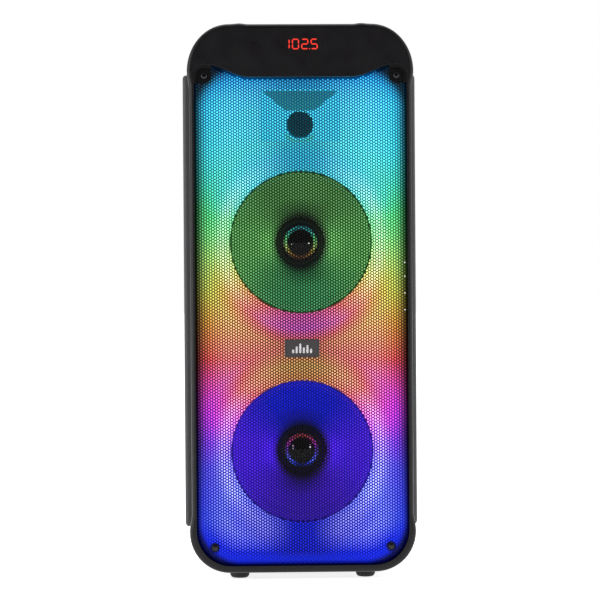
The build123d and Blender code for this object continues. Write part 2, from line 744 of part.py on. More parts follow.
with BuildPart() as cover_screws:
    with BuildSketch(facing(BACK_Y - HEAD_SINK)):
        with Locations(*cover_screw_places()):
            Circle(HEAD_RADIUS)
            RegularPolygon(1.6, 6, mode=Mode.SUBTRACT)
    extrude(amount=2.2, dir=BACKWARD)
    with BuildSketch(facing(COVER_Y - 18)):
        with Locations(*cover_screw_places()):
            Circle(PILOT_RADIUS - 0.05)
    extrude(amount=BACK_Y - HEAD_SINK - COVER_Y + 18 + 0.8, dir=BACKWARD)
save(cover_screws, "cover_screws")

# ---- Grip cup in the rear cover ----
CUP_WALL = 3.0
CUP_DEPTH = 34.0
with BuildPart() as grip_cup:
    with BuildSketch(facing(JACK_PANEL_Y - CUP_DEPTH - CUP_WALL)):
        with Locations((0, GRIP_Z)):
            RectangleRounded(GRIP_WIDTH + 2 * CUP_WALL, GRIP_HEIGHT + 2 * CUP_WALL, GRIP_ROUND + CUP_WALL)
    extrude(amount=CUP_DEPTH + CUP_WALL, dir=BACKWARD)
    with BuildSketch(facing(JACK_PANEL_Y - 3)):
        with Locations((0, GRIP_Z)):
            RectangleRounded(GRIP_WIDTH + 22, GRIP_HEIGHT + 22, 20)
    extrude(amount=3, dir=BACKWARD)
    with BuildSketch(facing(JACK_PANEL_Y - CUP_DEPTH)):
        with Locations((0, GRIP_Z)):
            RectangleRounded(GRIP_WIDTH, GRIP_HEIGHT, GRIP_ROUND)
    extrude(amount=CUP_DEPTH, dir=BACKWARD, mode=Mode.SUBTRACT)
save(grip_cup, "grip_cup")

# ---- Bass reflex port with a flared mouth ----
PORT_WALL = 3.0
PORT_FRONT_Y = 50.0
FLARE = 8.0
with BuildPart() as port_tube:
    with BuildSketch(driver_profile(PORT_Z)):
        with BuildLine():
            Line((PORT_RADIUS, PORT_FRONT_Y), (PORT_RADIUS, BACK_Y - FLARE))
            CenterArc((PORT_RADIUS + FLARE, BACK_Y - FLARE), FLARE, 90, 90)
            Polyline(
                (PORT_RADIUS + FLARE, BACK_Y), (PORT_FLANGE, BACK_Y), (PORT_FLANGE, BACK_Y - FLANGE_SINK),
                (PORT_RADIUS + FLARE - 1, BACK_Y - FLANGE_SINK), (PORT_RADIUS + PORT_WALL, BACK_Y - 6),
                (PORT_RADIUS + PORT_WALL, PORT_FRONT_Y), (PORT_RADIUS, PORT_FRONT_Y),
            )
        make_face()
    revolve(axis=driver_axis(PORT_Z))
    with BuildSketch(facing(COVER_Y)):
        with Locations((0, PORT_Z)):
            Circle(PORT_FLANGE + 5)
            Circle(PORT_RADIUS + 3.1, mode=Mode.SUBTRACT)
    extrude(amount=BACK_Y - FLANGE_SINK - COVER_Y, dir=BACKWARD, mode=Mode.SUBTRACT)
save(port_tube, "port_tube")

# ---- Jack panel with mains inlet, rocker switch and battery charging socket ----
INLET_X = -38.0
SWITCH_X = 8.0
DC_X = 46.0
INLET_SIZE = (17.0, 8.4)
INLET_BODY = (23.0, 15.0)
INLET_DEPTH = 14.0
SWITCH_BODY = (19.0, 26.0)
SWITCH_HOLE = (14.6, 21.6)
CHARGE_RADIUS = 5.5
CHARGE_BORE = 3.2
FIT_GAP = 0.4
PANEL_THICK = 2.5
with BuildPart() as rear_jack_panel:
    with BuildSketch(facing(JACK_PANEL_Y - PANEL_THICK)):
        with Locations((0, JACK_Z)):
            RectangleRounded(JACK_WIDTH + 2 * JACK_LEDGE, JACK_HEIGHT + 2 * JACK_LEDGE, 6)
        with Locations((INLET_X, JACK_Z)):
            Rectangle(INLET_BODY[0] + FIT_GAP, INLET_BODY[1] + FIT_GAP, mode=Mode.SUBTRACT)
        with Locations((SWITCH_X, JACK_Z)):
            Rectangle(SWITCH_BODY[0] + FIT_GAP, SWITCH_BODY[1] + FIT_GAP, mode=Mode.SUBTRACT)
        with Locations((DC_X, JACK_Z)):
            Circle(CHARGE_RADIUS + FIT_GAP / 2, mode=Mode.SUBTRACT)
    extrude(amount=PANEL_THICK, dir=BACKWARD)
save(rear_jack_panel, "rear_jack_panel")

FLANGE_THICK = 1.6
with BuildPart() as mains_inlet:
    with BuildSketch(facing(JACK_PANEL_Y)):
        with Locations((INLET_X, JACK_Z)):
            RectangleRounded(30, 21, 2)
    extrude(amount=FLANGE_THICK, dir=BACKWARD)
    with BuildSketch(facing(JACK_PANEL_Y - 20)):
        with Locations((INLET_X, JACK_Z)):
            Rectangle(*INLET_BODY)
    extrude(amount=20, dir=BACKWARD)
    with BuildSketch(facing(JACK_PANEL_Y + FLANGE_THICK - INLET_DEPTH)):
        with Locations((INLET_X, JACK_Z)):
            SlotOverall(*INLET_SIZE)
    extrude(amount=INLET_DEPTH, dir=BACKWARD, mode=Mode.SUBTRACT)
    with BuildSketch(facing(JACK_PANEL_Y + FLANGE_THICK - INLET_DEPTH - 1)):
        with Locations((INLET_X - 4.3, JACK_Z), (INLET_X + 4.3, JACK_Z)):
            Circle(1.2)
    extrude(amount=INLET_DEPTH - 1, dir=BACKWARD)
save(mains_inlet, "mains_inlet")

PIVOT_Y = 148.6
ROCKER_TILT = 6.0
ROCKER_HALF = 9.2
ROCKER_CREST = 2.6
ROCKER_WIDTH = 13.4
with BuildPart() as switch_housing:
    with BuildSketch(facing(JACK_PANEL_Y)):
        with Locations((SWITCH_X, JACK_Z)):
            RectangleRounded(25, 32, 2)
    extrude(amount=FLANGE_THICK, dir=BACKWARD)
    with BuildSketch(facing(JACK_PANEL_Y - 18)):
        with Locations((SWITCH_X, JACK_Z)):
            Rectangle(*SWITCH_BODY)
    extrude(amount=18, dir=BACKWARD)
    with BuildSketch(facing(PIVOT_Y - 12)):
        with Locations((SWITCH_X, JACK_Z)):
            Rectangle(*SWITCH_HOLE)
    extrude(amount=20, dir=BACKWARD, mode=Mode.SUBTRACT)
    with BuildSketch(Plane.YZ.offset(SWITCH_X - 9)):
        with Locations((PIVOT_Y, JACK_Z)):
            Circle(1.55)
    extrude(amount=18, mode=Mode.SUBTRACT)
save(switch_housing, "switch_housing")

tilt = math.radians(ROCKER_TILT)
wing = ROCKER_CREST + ROCKER_HALF * math.tan(tilt)
rocker_plane = Plane(
    (SWITCH_X - ROCKER_WIDTH / 2, PIVOT_Y, JACK_Z),
    x_dir=(0, math.cos(tilt), -math.sin(tilt)),
    z_dir=(1, 0, 0),
)
with BuildPart() as power_rocker:
    with BuildSketch(rocker_plane):
        with BuildLine():
            Polyline((ROCKER_CREST, 0), (wing, ROCKER_HALF), (0.5, ROCKER_HALF), (-6.5, 3.5), (-6.5, 0))
            mirror(about=Plane.XZ)
        make_face()
    extrude(amount=ROCKER_WIDTH)
    with BuildSketch(Plane.YZ.offset(SWITCH_X - 8.6)):
        with Locations((PIVOT_Y, JACK_Z)):
            Circle(1.5)
    extrude(amount=17.2)
save(power_rocker, "power_rocker")

with BuildPart() as charge_socket:
    with BuildSketch(facing(JACK_PANEL_Y)):
        with Locations((DC_X, JACK_Z)):
            Circle(CHARGE_RADIUS + 2)
            Circle(CHARGE_BORE, mode=Mode.SUBTRACT)
    extrude(amount=1.8, dir=BACKWARD)
    with BuildSketch(facing(JACK_PANEL_Y - 12)):
        with Locations((DC_X, JACK_Z)):
            Circle(CHARGE_RADIUS)
            Circle(CHARGE_BORE, mode=Mode.SUBTRACT)
    extrude(amount=12, dir=BACKWARD)
    with BuildSketch(facing(JACK_PANEL_Y - 14)):
        with Locations((DC_X, JACK_Z)):
            Circle(CHARGE_RADIUS)
    extrude(amount=2, dir=BACKWARD)
    with BuildSketch(facing(JACK_PANEL_Y - 12.5)):
        with Locations((DC_X, JACK_Z)):
            Circle(1.0)
    extrude(amount=11, dir=BACKWARD)
save(charge_socket, "charge_socket")

# ---- Control deck, sunk into the top ----
VOLUME_RADIUS = 22.0
LEVEL_RADIUS = 11.0
LEVEL_X = 46.0
BUSH_RADIUS = 4.5
BUSH_BORE = 3.05
BUTTON_SIZE = (14.0, 9.0)
BUTTON_GAP = 0.3
JACK_X = (-44.0, -16.0)
USB_X = 16.0
AUX_X = 44.0
BUTTON_X = [BUTTON_PITCH * (index - 2.5) for index in range(6)]
DECK_UNDER = DECK_FLOOR - DECK_SHEET
with BuildPart() as control_deck:
    with BuildSketch(Plane.XY.offset(DECK_UNDER)):
        with Locations((0, DECK_CENTRE_Y)):
            RectangleRounded(DECK_WIDTH, DECK_LENGTH, 8)
    extrude(amount=DECK_TOP - DECK_UNDER)
    with BuildSketch(Plane.XY.offset(DECK_TOP - PLATE_STEP)):
        with Locations((0, DECK_CENTRE_Y)):
            RectangleRounded(DECK_WIDTH + 2 * RIM_WIDTH, DECK_LENGTH + 2 * RIM_WIDTH, 8 + RIM_WIDTH)
    extrude(amount=PLATE_STEP)
    with BuildSketch(Plane.XY.offset(DECK_FLOOR)):
        with Locations((0, DECK_CENTRE_Y)):
            RectangleRounded(DECK_WIDTH - 2 * DECK_SHEET, DECK_LENGTH - 2 * DECK_SHEET, 5.5)
    extrude(amount=20, mode=Mode.SUBTRACT)
    with BuildSketch(Plane.XY.offset(DECK_UNDER)):
        with Locations((0, KNOB_Y), (-LEVEL_X, KNOB_Y), (LEVEL_X, KNOB_Y)):
            Circle(BUSH_RADIUS + 0.2)
        with Locations(*[(button_x, BUTTON_Y) for button_x in BUTTON_X]):
            RectangleRounded(BUTTON_SIZE[0] + 2 * BUTTON_GAP, BUTTON_SIZE[1] + 2 * BUTTON_GAP, 1.8)
        with Locations(*[(jack_x, SOCKET_Y) for jack_x in JACK_X]):
            Circle(5.2)
        with Locations((USB_X, SOCKET_Y)):
            Rectangle(14.4, 7.4)
        with Locations((AUX_X, SOCKET_Y)):
            Circle(3.2)
    extrude(amount=DECK_SHEET, mode=Mode.SUBTRACT)
save(control_deck, "control_deck")

BOARD_THICK = 1.6
SWITCH_TOP = 741.0
with BuildPart() as control_board:
    with BuildSketch(Plane.XY.offset(BOARD_TOP - BOARD_THICK)):
        with Locations((0, -44.0)):
            Rectangle(118, 92)
    extrude(amount=BOARD_THICK)
    with BuildSketch(Plane.XY.offset(BOARD_TOP)):
        with Locations(*[(button_x, BUTTON_Y) for button_x in BUTTON_X]):
            Rectangle(6, 6)
    extrude(amount=SWITCH_TOP - BOARD_TOP)
    with BuildSketch(Plane.XY.offset(BOARD_TOP)):
        with Locations((-24, -28), (24, -28), (0, -80)):
            Rectangle(9, 9)
    extrude(amount=2)
save(control_board, "control_board")


def make_encoder(name, places):
    """Rotary controls on the board, each with a threaded bush through the deck."""
    with BuildPart() as encoder:
        with BuildSketch(Plane.XY.offset(BOARD_TOP)):
            with Locations(*places):
                RectangleRounded(14, 14, 1)
        extrude(amount=DECK_UNDER - BOARD_TOP)
        with BuildSketch(Plane.XY.offset(DECK_UNDER)):
            with Locations(*places):
                Circle(BUSH_RADIUS)
        extrude(amount=DECK_SHEET + 1.4)
        with BuildSketch(Plane.XY.offset(BOARD_TOP + 1)):
            with Locations(*places):
                Circle(BUSH_BORE)
        extrude(amount=20, mode=Mode.SUBTRACT)
    save(encoder, name)


make_encoder("volume_encoder", [(0, KNOB_Y)])
make_encoder("level_pots", [(-LEVEL_X, KNOB_Y), (LEVEL_X, KNOB_Y)])


def make_knob(name, x, radius, flutes):
    """A fluted knob with a recess over the bush, a shaft down the bush and a pointer groove on top."""
    under = DECK_FLOOR + 0.6
    top = KNOB_TOP
    with BuildPart() as knob:
        with BuildSketch(Plane.XY.offset(under)):
            with Locations((x, KNOB_Y)):
                Circle(radius)
                with PolarLocations(radius + 0.4, flutes):
                    Circle(0.9, mode=Mode.SUBTRACT)
        extrude(amount=top - under - 2)
        with BuildSketch(Plane.XY.offset(top - 2)):
            with Locations((x, KNOB_Y)):
                Circle(radius - 1.4)
        extrude(amount=2)
        chamfer(knob.faces().sort_by(Axis.Z)[-1].edges(), length=0.8)
        with BuildSketch(Plane.XY.offset(under)):
            with Locations((x, KNOB_Y)):
                Circle(radius - 4)
        extrude(amount=4, mode=Mode.SUBTRACT)
        with BuildSketch(Plane.XY.offset(BOARD_TOP + 1.5)):
            with Locations((x, KNOB_Y)):
                Circle(BUSH_BORE - 0.05)
        extrude(amount=under + 4 - BOARD_TOP - 1.5)
        with BuildSketch(Plane.XY.offset(top - 0.6)):
            with Locations((x, KNOB_Y - radius * 0.62)):
                SlotOverall(radius * 0.4, 1.6, rotation=90)
        extrude(amount=1, mode=Mode.SUBTRACT)
    save(knob, name)


make_knob("volume_knob", 0, VOLUME_RADIUS, 48)
make_knob("mic_level_knob", -LEVEL_X, LEVEL_RADIUS, 24)
make_knob("echo_level_knob", LEVEL_X, LEVEL_RADIUS, 24)

for index, button_x in enumerate(BUTTON_X):
    with BuildPart() as button:
        with BuildSketch(Plane.XY.offset(DECK_UNDER - 1.8)):
            with Locations((button_x, BUTTON_Y)):
                Rectangle(BUTTON_SIZE[0] + 2.5, BUTTON_SIZE[1] + 2.5)
        extrude(amount=1.2)
        with BuildSketch(Plane.XY.offset(DECK_UNDER - 0.6)):
            with Locations((button_x, BUTTON_Y)):
                RectangleRounded(*BUTTON_SIZE, 1.5)
        extrude(amount=DECK_SHEET + 0.6 + 2.0)
        fillet(button.faces().sort_by(Axis.Z)[-1].edges(), radius=0.6)
        with BuildSketch(Plane.XY.offset(SWITCH_TOP + BUTTON_TRAVEL_GAP)):
            with Locations((button_x, BUTTON_Y)):
                Circle(1.6)
        extrude(amount=DECK_UNDER - 1.8 - SWITCH_TOP - BUTTON_TRAVEL_GAP)
    save(button, f"button_{index + 1}")

MIC_BORE = 3.2
MIC_DEPTH = 30.0
NUT_HEIGHT = 2.5
with BuildPart() as mic_jacks:
    for jack_x in JACK_X:
        with BuildSketch(Plane.XY.offset(DECK_FLOOR + NUT_HEIGHT - MIC_DEPTH - 3)):
            with Locations((jack_x, SOCKET_Y)):
                Rectangle(15, 15)
        extrude(amount=DECK_UNDER - DECK_FLOOR - NUT_HEIGHT + MIC_DEPTH + 3)
        with BuildSketch(Plane.XY.offset(DECK_UNDER)):
            with Locations((jack_x, SOCKET_Y)):
                Circle(5.0)
        extrude(amount=DECK_SHEET)
        with BuildSketch(Plane.XY.offset(DECK_FLOOR)):
            with Locations((jack_x, SOCKET_Y)):
                RegularPolygon(7.4, 6)
        extrude(amount=NUT_HEIGHT)
        with BuildSketch(Plane.XY.offset(DECK_FLOOR + NUT_HEIGHT - MIC_DEPTH)):
            with Locations((jack_x, SOCKET_Y)):
                Circle(MIC_BORE)
        extrude(amount=MIC_DEPTH, mode=Mode.SUBTRACT)
save(mic_jacks, "mic_jacks")

with BuildPart() as media_sockets:
    with BuildSketch(Plane.XY.offset(DECK_UNDER - 14)):
        with Locations((USB_X, SOCKET_Y)):
            Rectangle(14, 7)
    extrude(amount=14 + DECK_SHEET)
    with BuildSketch(Plane.XY.offset(DECK_UNDER - 12)):
        with Locations((USB_X, SOCKET_Y)):
            Rectangle(12.4, 5.2)
    extrude(amount=20, mode=Mode.SUBTRACT)
    with BuildSketch(Plane.XY.offset(DECK_UNDER - 14)):
        with Locations((USB_X, SOCKET_Y + 1.2)):
            Rectangle(11.2, 1.8)
    extrude(amount=14 + DECK_SHEET - 0.8)
    with BuildSketch(Plane.XY.offset(DECK_UNDER - 14)):
        with Locations((AUX_X, SOCKET_Y)):
            Circle(4.5)
    extrude(amount=14)
    with BuildSketch(Plane.XY.offset(DECK_UNDER)):
        with Locations((AUX_X, SOCKET_Y)):
            Circle(3.0)
    extrude(amount=DECK_SHEET)
    with BuildSketch(Plane.XY.offset(DECK_UNDER - 12)):
        with Locations((AUX_X, SOCKET_Y)):
            Circle(1.8)
    extrude(amount=20, mode=Mode.SUBTRACT)
save(media_sockets, "media_sockets")

# ---- Amplifier, power supply and battery ----
AMP_Z = 300.0
PSU_Z = 420.0
MODULE_Y = 118.0
MODULE_THICK = 1.6
STAND_Y = MODULE_Y + MODULE_THICK
INNER_FLOOR = FOOT_HEIGHT + SHELL_WALL
with BuildPart() as amplifier_board:
    add_board(130, 90, AMP_Z, MODULE_Y, MODULE_THICK)
    # two pairs of capacitors, then two coils
    with BuildSketch(facing(MODULE_Y - 12)):
        with Locations((-45, AMP_Z + 20), (-20, AMP_Z + 20)):
            Circle(8)
        with Locations((25, AMP_Z - 25), (45, AMP_Z - 25)):
            Circle(6)
    extrude(amount=12, dir=BACKWARD)
    with BuildSketch(facing(MODULE_Y - 5)):
        with Locations((-40, AMP_Z - 25), (-15, AMP_Z - 25)):
            Rectangle(14, 18)
    extrude(amount=5, dir=BACKWARD)
    with BuildSketch(facing(STAND_Y)):
        with Locations((0, AMP_Z)):
            with GridLocations(118, 78, 2, 2):
                Circle(3)
    extrude(amount=JACK_PANEL_Y - STAND_Y, dir=BACKWARD)
save(amplifier_board, "amplifier_board")

FIN_PITCH = 6.0
with BuildPart() as heat_sink:
    with BuildSketch(Plane.XY.offset(AMP_Z - 8)):
        with Locations((35, 114.5)):
            Rectangle(50, 5)
        with Locations((35, 104)):
            with GridLocations(FIN_PITCH, 1, 8, 1):
                Rectangle(1.6, 18)
    extrude(amount=45)
save(heat_sink, "heat_sink")

with BuildPart() as power_supply:
    add_board(110, 80, PSU_Z, MODULE_Y, MODULE_THICK)
    # the transformer, then two capacitors
    with BuildSketch(facing(MODULE_Y - 28)):
        with Locations((-20, PSU_Z)):
            RectangleRounded(36, 32, 3)
    extrude(amount=28, dir=BACKWARD)
    with BuildSketch(facing(MODULE_Y - 24)):
        with Locations((30, PSU_Z + 15), (30, PSU_Z - 15)):
            Circle(10)
    extrude(amount=24, dir=BACKWARD)
    with BuildSketch(facing(STAND_Y)):
        with Locations((0, PSU_Z)):
            with GridLocations(98, 68, 2, 2):
                Circle(3)
    extrude(amount=JACK_PANEL_Y - STAND_Y, dir=BACKWARD)
save(power_supply, "power_supply")

BATTERY = (150.0, 66.0, 94.0)
BATTERY_Y = 60.0
STRAP = 1.5
with BuildPart() as battery_pack:
    with Locations((0, BATTERY_Y, INNER_FLOOR + BATTERY[2] / 2)):
        Box(*BATTERY)
    fillet(battery_pack.edges().filter_by(Axis.Z), radius=3.0)
    for terminal_x in (-50, 50):
        with Locations((terminal_x, BATTERY_Y, INNER_FLOOR + BATTERY[2] + 3)):
            Box(8, 5, 6)
save(battery_pack, "battery_pack")

STRAP_HALF = BATTERY[1] / 2
STRAP_FOOT = STRAP_HALF + 16.0
STRAP_TOP = INNER_FLOOR + BATTERY[2]
with BuildPart() as battery_strap:
    with BuildSketch(Plane.YZ.offset(-12)):
        with BuildLine():
            Polyline(
                (BATTERY_Y, STRAP_TOP), (BATTERY_Y + STRAP_HALF, STRAP_TOP),
                (BATTERY_Y + STRAP_HALF, INNER_FLOOR), (BATTERY_Y + STRAP_FOOT, INNER_FLOOR),
                (BATTERY_Y + STRAP_FOOT, INNER_FLOOR + STRAP),
                (BATTERY_Y + STRAP_HALF + STRAP, INNER_FLOOR + STRAP),
                (BATTERY_Y + STRAP_HALF + STRAP, STRAP_TOP + STRAP), (BATTERY_Y, STRAP_TOP + STRAP),
            )
            mirror(about=Plane.YZ.offset(BATTERY_Y))
        make_face()
    extrude(amount=24)
save(battery_strap, "battery_strap")

# ---- Feet: turned rubber pads with round lower edges, each with a stem in the bottom wall ----
FOOT_SOLE = 8.5
FOOT_WAIST = 13.0
FOOT_SHOULDER = 14.2
STEM_TOP = FOOT_HEIGHT + STEM_HEIGHT - 0.2
with BuildPart() as rubber_feet:
    for foot_y in (-FOOT_Y, FOOT_Y):
        for foot_x in (-FOOT_X, FOOT_X):
            foot_axis = Axis((foot_x, foot_y, 0), (0, 0, 1))
            with BuildSketch(Plane((foot_x, foot_y, 0), x_dir=(1, 0, 0), z_dir=(0, -1, 0))):
                with BuildLine():
                    Line((0, 0), (FOOT_SOLE, 0))
                    ThreePointArc((FOOT_SOLE, 0), (11.4, 1.3), (FOOT_WAIST, 4.0))
                    Polyline(
                        (FOOT_WAIST, 4.0), (FOOT_SHOULDER, FOOT_HEIGHT), (FOOT_STEM, FOOT_HEIGHT),
                        (FOOT_STEM, STEM_TOP), (0, STEM_TOP), (0, 0),
                    )
                make_face()
            revolve(axis=foot_axis)
save(rubber_feet, "rubber_feet")
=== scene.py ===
import math
import bpy
import numpy as np
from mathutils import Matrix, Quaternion, Vector


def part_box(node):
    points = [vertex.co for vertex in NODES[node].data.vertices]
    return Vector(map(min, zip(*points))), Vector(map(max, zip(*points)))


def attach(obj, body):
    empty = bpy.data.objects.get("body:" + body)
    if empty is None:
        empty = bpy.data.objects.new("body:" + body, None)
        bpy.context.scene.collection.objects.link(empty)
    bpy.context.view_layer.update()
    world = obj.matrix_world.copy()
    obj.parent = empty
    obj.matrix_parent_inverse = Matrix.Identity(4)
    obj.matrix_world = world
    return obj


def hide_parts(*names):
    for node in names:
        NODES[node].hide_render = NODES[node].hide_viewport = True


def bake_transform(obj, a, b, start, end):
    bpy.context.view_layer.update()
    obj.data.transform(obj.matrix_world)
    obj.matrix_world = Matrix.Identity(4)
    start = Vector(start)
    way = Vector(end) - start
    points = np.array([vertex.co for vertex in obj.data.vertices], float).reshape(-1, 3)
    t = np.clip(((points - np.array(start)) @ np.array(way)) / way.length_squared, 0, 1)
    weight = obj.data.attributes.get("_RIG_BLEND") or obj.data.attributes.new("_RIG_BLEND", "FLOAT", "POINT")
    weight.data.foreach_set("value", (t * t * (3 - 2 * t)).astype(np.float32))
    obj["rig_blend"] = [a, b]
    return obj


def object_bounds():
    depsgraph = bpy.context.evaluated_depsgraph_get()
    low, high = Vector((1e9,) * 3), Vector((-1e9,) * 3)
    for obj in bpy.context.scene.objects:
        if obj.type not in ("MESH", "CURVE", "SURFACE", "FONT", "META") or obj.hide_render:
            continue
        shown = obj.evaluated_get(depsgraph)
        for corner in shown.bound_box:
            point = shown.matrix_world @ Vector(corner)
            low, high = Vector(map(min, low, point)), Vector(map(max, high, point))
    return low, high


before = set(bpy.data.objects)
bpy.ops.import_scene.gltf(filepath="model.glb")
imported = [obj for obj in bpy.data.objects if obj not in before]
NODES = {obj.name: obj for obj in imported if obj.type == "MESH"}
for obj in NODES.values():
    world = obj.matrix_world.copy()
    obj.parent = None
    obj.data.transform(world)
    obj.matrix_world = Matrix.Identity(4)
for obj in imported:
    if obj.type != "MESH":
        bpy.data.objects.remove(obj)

# A party speaker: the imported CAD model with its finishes, and the pieces that are finer than CAD.
# Metres, +Z up, the listener on the -Y side.

cad_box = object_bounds()
MIDDLE_HIGH = (cad_box[0].z + cad_box[1].z) / 2
CABINET = "cabinet"
TAU = 2 * math.pi
WHITE = (1, 1, 1)

# ---- sizes, worked out from the frame


def span(node):
    """A node's box as six numbers: low x, y, z, high x, y, z."""
    low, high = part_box(node)
    return (*low, *high)


def middle_of(box, axis):
    """The middle of a box along x, y or z, as 0, 1 or 2."""
    return (box[axis] + box[axis + 3]) / 2


GRILLE_BOX = span("front_grille")
DIFFUSER_BOX = span("light_diffuser")
GRILLE_Y = GRILLE_BOX[1]
GRILLE_SHEET = 0.001
GRILLE_ROLL = 0.0065
HOLE_PITCH = 0.004
HOLE_RADIUS = 0.00122
SCREWS = ((0.132, 0.691), (0.121, 0.044))
WOOFERS = {woofer: middle_of(span(f"{woofer}_cone"), 2) for woofer in ("upper", "lower")}

# ---- node materials


class Nodes:
    """The node tree of a new material or world, with short ways to add and join nodes."""

    def __init__(self, name, kind="materials", output="ShaderNodeOutputMaterial"):
        self.owner = getattr(bpy.data, kind).new(name)
        self.owner.use_nodes = True
        self.tree = self.owner.node_tree
        self.tree.nodes.clear()
        self.out = self.add(output)

    def add(self, kind, inputs=(), **settings):
        """A new node with its settings, and with its inputs given by their names or places."""
        node = self.tree.nodes.new(kind)
        for key, value in settings.items():
            setattr(node, key, value)
        for key, value in dict(inputs).items():
            self.feed(node.inputs[key], value)
        return node

    def feed(self, socket, value):
        """Gives a socket a number, a colour or stretch, or another node's output."""
        if isinstance(value, (int, float)):
            socket.default_value = value
        elif isinstance(value, tuple):
            socket.default_value = (*value, 1.0)[:len(socket.default_value)]
        else:
            self.tree.links.new(value, socket)

    def coordinates(self, kind="Object"):
        """The point on the object, in metres, or the surface's normal or the world's direction."""
        return self.add("ShaderNodeTexCoord").outputs[kind]

    def axes(self, kind="Object"):
        return self.add("ShaderNodeSeparateXYZ", {0: self.coordinates(kind)}).outputs

    def math(self, operation, *numbers):
        return self.add("ShaderNodeMath", enumerate(numbers), operation=operation).outputs[0]

    def times(self, a, b):
        return self.math("MULTIPLY", a, b)

    def minus(self, a, b):
        return self.math("SUBTRACT", a, b)

    def gap(self, a, b=0.0):
        """How far apart two numbers are."""
        return self.math("ABSOLUTE", self.minus(a, b))

    def length(self, a, b):
        """The length of a step of a one way and b across it."""
        return self.math("SQRT", self.math("ADD", self.times(a, a), self.times(b, b)))

    def noise(self, scale, detail=2.0, stretch=(1, 1, 1)):
        mapping = self.add("ShaderNodeMapping", {"Vector": self.coordinates(), "Scale": stretch})
        inputs = {"Vector": mapping.outputs[0], "Scale": scale, "Detail": detail}
        return self.add("ShaderNodeTexNoise", inputs).outputs["Fac"]

    def cells(self, scale, feature):
        inputs = {"Vector": self.coordinates(), "Scale": scale}
        return self.add("ShaderNodeTexVoronoi", inputs, feature=feature).outputs["Distance"]

    def ramp(self, factor, stops):
        """A colour ramp: stops are (place from 0 to 1, colour or grey)."""
        node = self.add("ShaderNodeValToRGB", {0: factor})
        band = node.color_ramp
        while len(band.elements) < len(stops):
            band.elements.new(0.5)
        for element, (where, colour) in zip(band.elements, stops):
            element.position = where
        for element, (where, colour) in zip(band.elements, stops):
            rgb = (colour,) * 3 if isinstance(colour, (int, float)) else colour
            element.color = (*rgb, 1.0)
        return node.outputs["Color"]

    def spread(self, value, low, high, to_low=0.0, to_high=1.0):
        """A value that runs from low to high, carried over to another range and held at its ends."""
        inputs = enumerate((value, low, high, to_low, to_high))
        return self.add("ShaderNodeMapRange", inputs).outputs[0]

    def fade(self, value, low, high):
        """Full up to low, and nothing from high on."""
        return self.spread(value, low, high, 1.0, 0.0)

    def vary(self, noise, to_low, to_high):
        """A noise, most of which lies between 0.3 and 0.7, carried over to a range."""
        return self.spread(noise, 0.3, 0.7, to_low, to_high)

    def mix(self, factor, a, b, blend="MIX"):
        inputs = {0: factor, 6: a, 7: b}
        return self.add("ShaderNodeMix", inputs, data_type="RGBA", blend_type=blend).outputs[2]

    def product(self, a, b):
        """Two colours, or a colour and a number, multiplied."""
        return self.mix(1.0, a, b, "MULTIPLY")

    def deepen(self, colour, power):
        """A purer version of a colour."""
        return self.add("ShaderNodeGamma", {"Color": colour, "Gamma": power}).outputs[0]

    def bump(self, height, strength, distance):
        inputs = {"Height": height, "Strength": strength, "Distance": distance}
        return self.add("ShaderNodeBump", inputs).outputs[0]

    def principled(self, **values):
        """Joins a principled shader to the output, and returns the finished material."""
        inputs = {key.replace("_", " "): value for key, value in values.items()}
        self.feed(self.out.inputs["Surface"], self.add("ShaderNodeBsdfPrincipled", inputs).outputs[0])
        return self.owner


def scaled(colour, share):
    """A colour made darker, or lighter up to full."""
    return tuple(min(1.0, share * c) for c in colour)


def moulded(name, colour, roughness, grain=900.0, depth=0.00006, coat=0.0, specular=0.5):
    """Moulded plastic or rubber: fine spark-eroded grain, cloudy tone and uneven gloss."""
    m = Nodes(name)
    cloud = m.vary(m.noise(9.0, 3.0), 0.0, 1.0)
    return m.principled(
        Base_Color=m.mix(cloud, scaled(colour, 0.86), scaled(colour, 1.14)),
        Roughness=m.vary(m.noise(40.0, 4.0), roughness - 0.04, roughness + 0.05),
        Coat_Weight=coat, Specular_IOR_Level=specular, Normal=m.bump(m.noise(grain), 0.35, depth),
    )


def grained(name, colour, roughness):
    """Side panels: a coarse leather-like grain of rounded cells."""
    m = Nodes(name)
    pits = m.cells(420.0, "SMOOTH_F1")
    cloud = m.vary(m.noise(6.0, 3.0), 0.0, 1.0)
    return m.principled(
        Base_Color=m.mix(cloud, scaled(colour, 0.85), colour),
        Roughness=m.spread(pits, 0.0, 0.6, roughness - 0.08, roughness + 0.08),
        Normal=m.bump(pits, 0.5, 0.0003),
    )


def metal(name, colour, roughness, brushed=(1, 1, 1)):
    """Bare or painted metal; brushed is how much closer its lines lie along x, y and z."""
    m = Nodes(name)
    lines = m.noise(350.0, 3.0, brushed)
    return m.principled(
        Base_Color=m.mix(lines, scaled(colour, 0.8), scaled(colour, 1.1)), Metallic=1.0,
        Roughness=m.vary(lines, roughness - 0.06, roughness + 0.08), Normal=m.bump(lines, 0.25, 0.00002),
    )


def powder_coat(name, colour, roughness):
    """Painted steel: a dielectric coat with orange peel."""
    m = Nodes(name)
    peel = m.noise(1400.0, 1.0)
    return m.principled(
        Base_Color=m.mix(m.noise(14.0), scaled(colour, 0.85), colour),
        Roughness=m.vary(peel, roughness - 0.05, roughness + 0.05), Normal=m.bump(peel, 0.2, 0.00004),
    )


def circuit(name):
    """Green solder mask with faint copper tracks under it."""
    m = Nodes(name)
    tracks = m.cells(160.0, "DISTANCE_TO_EDGE")
    tone = m.mix(m.fade(tracks, 0.02, 0.08), (0.012, 0.09, 0.035), (0.03, 0.19, 0.08))
    return m.principled(
        Base_Color=tone, Roughness=0.35, Coat_Weight=0.3, Normal=m.bump(tracks, 0.3, 0.00003)
    )


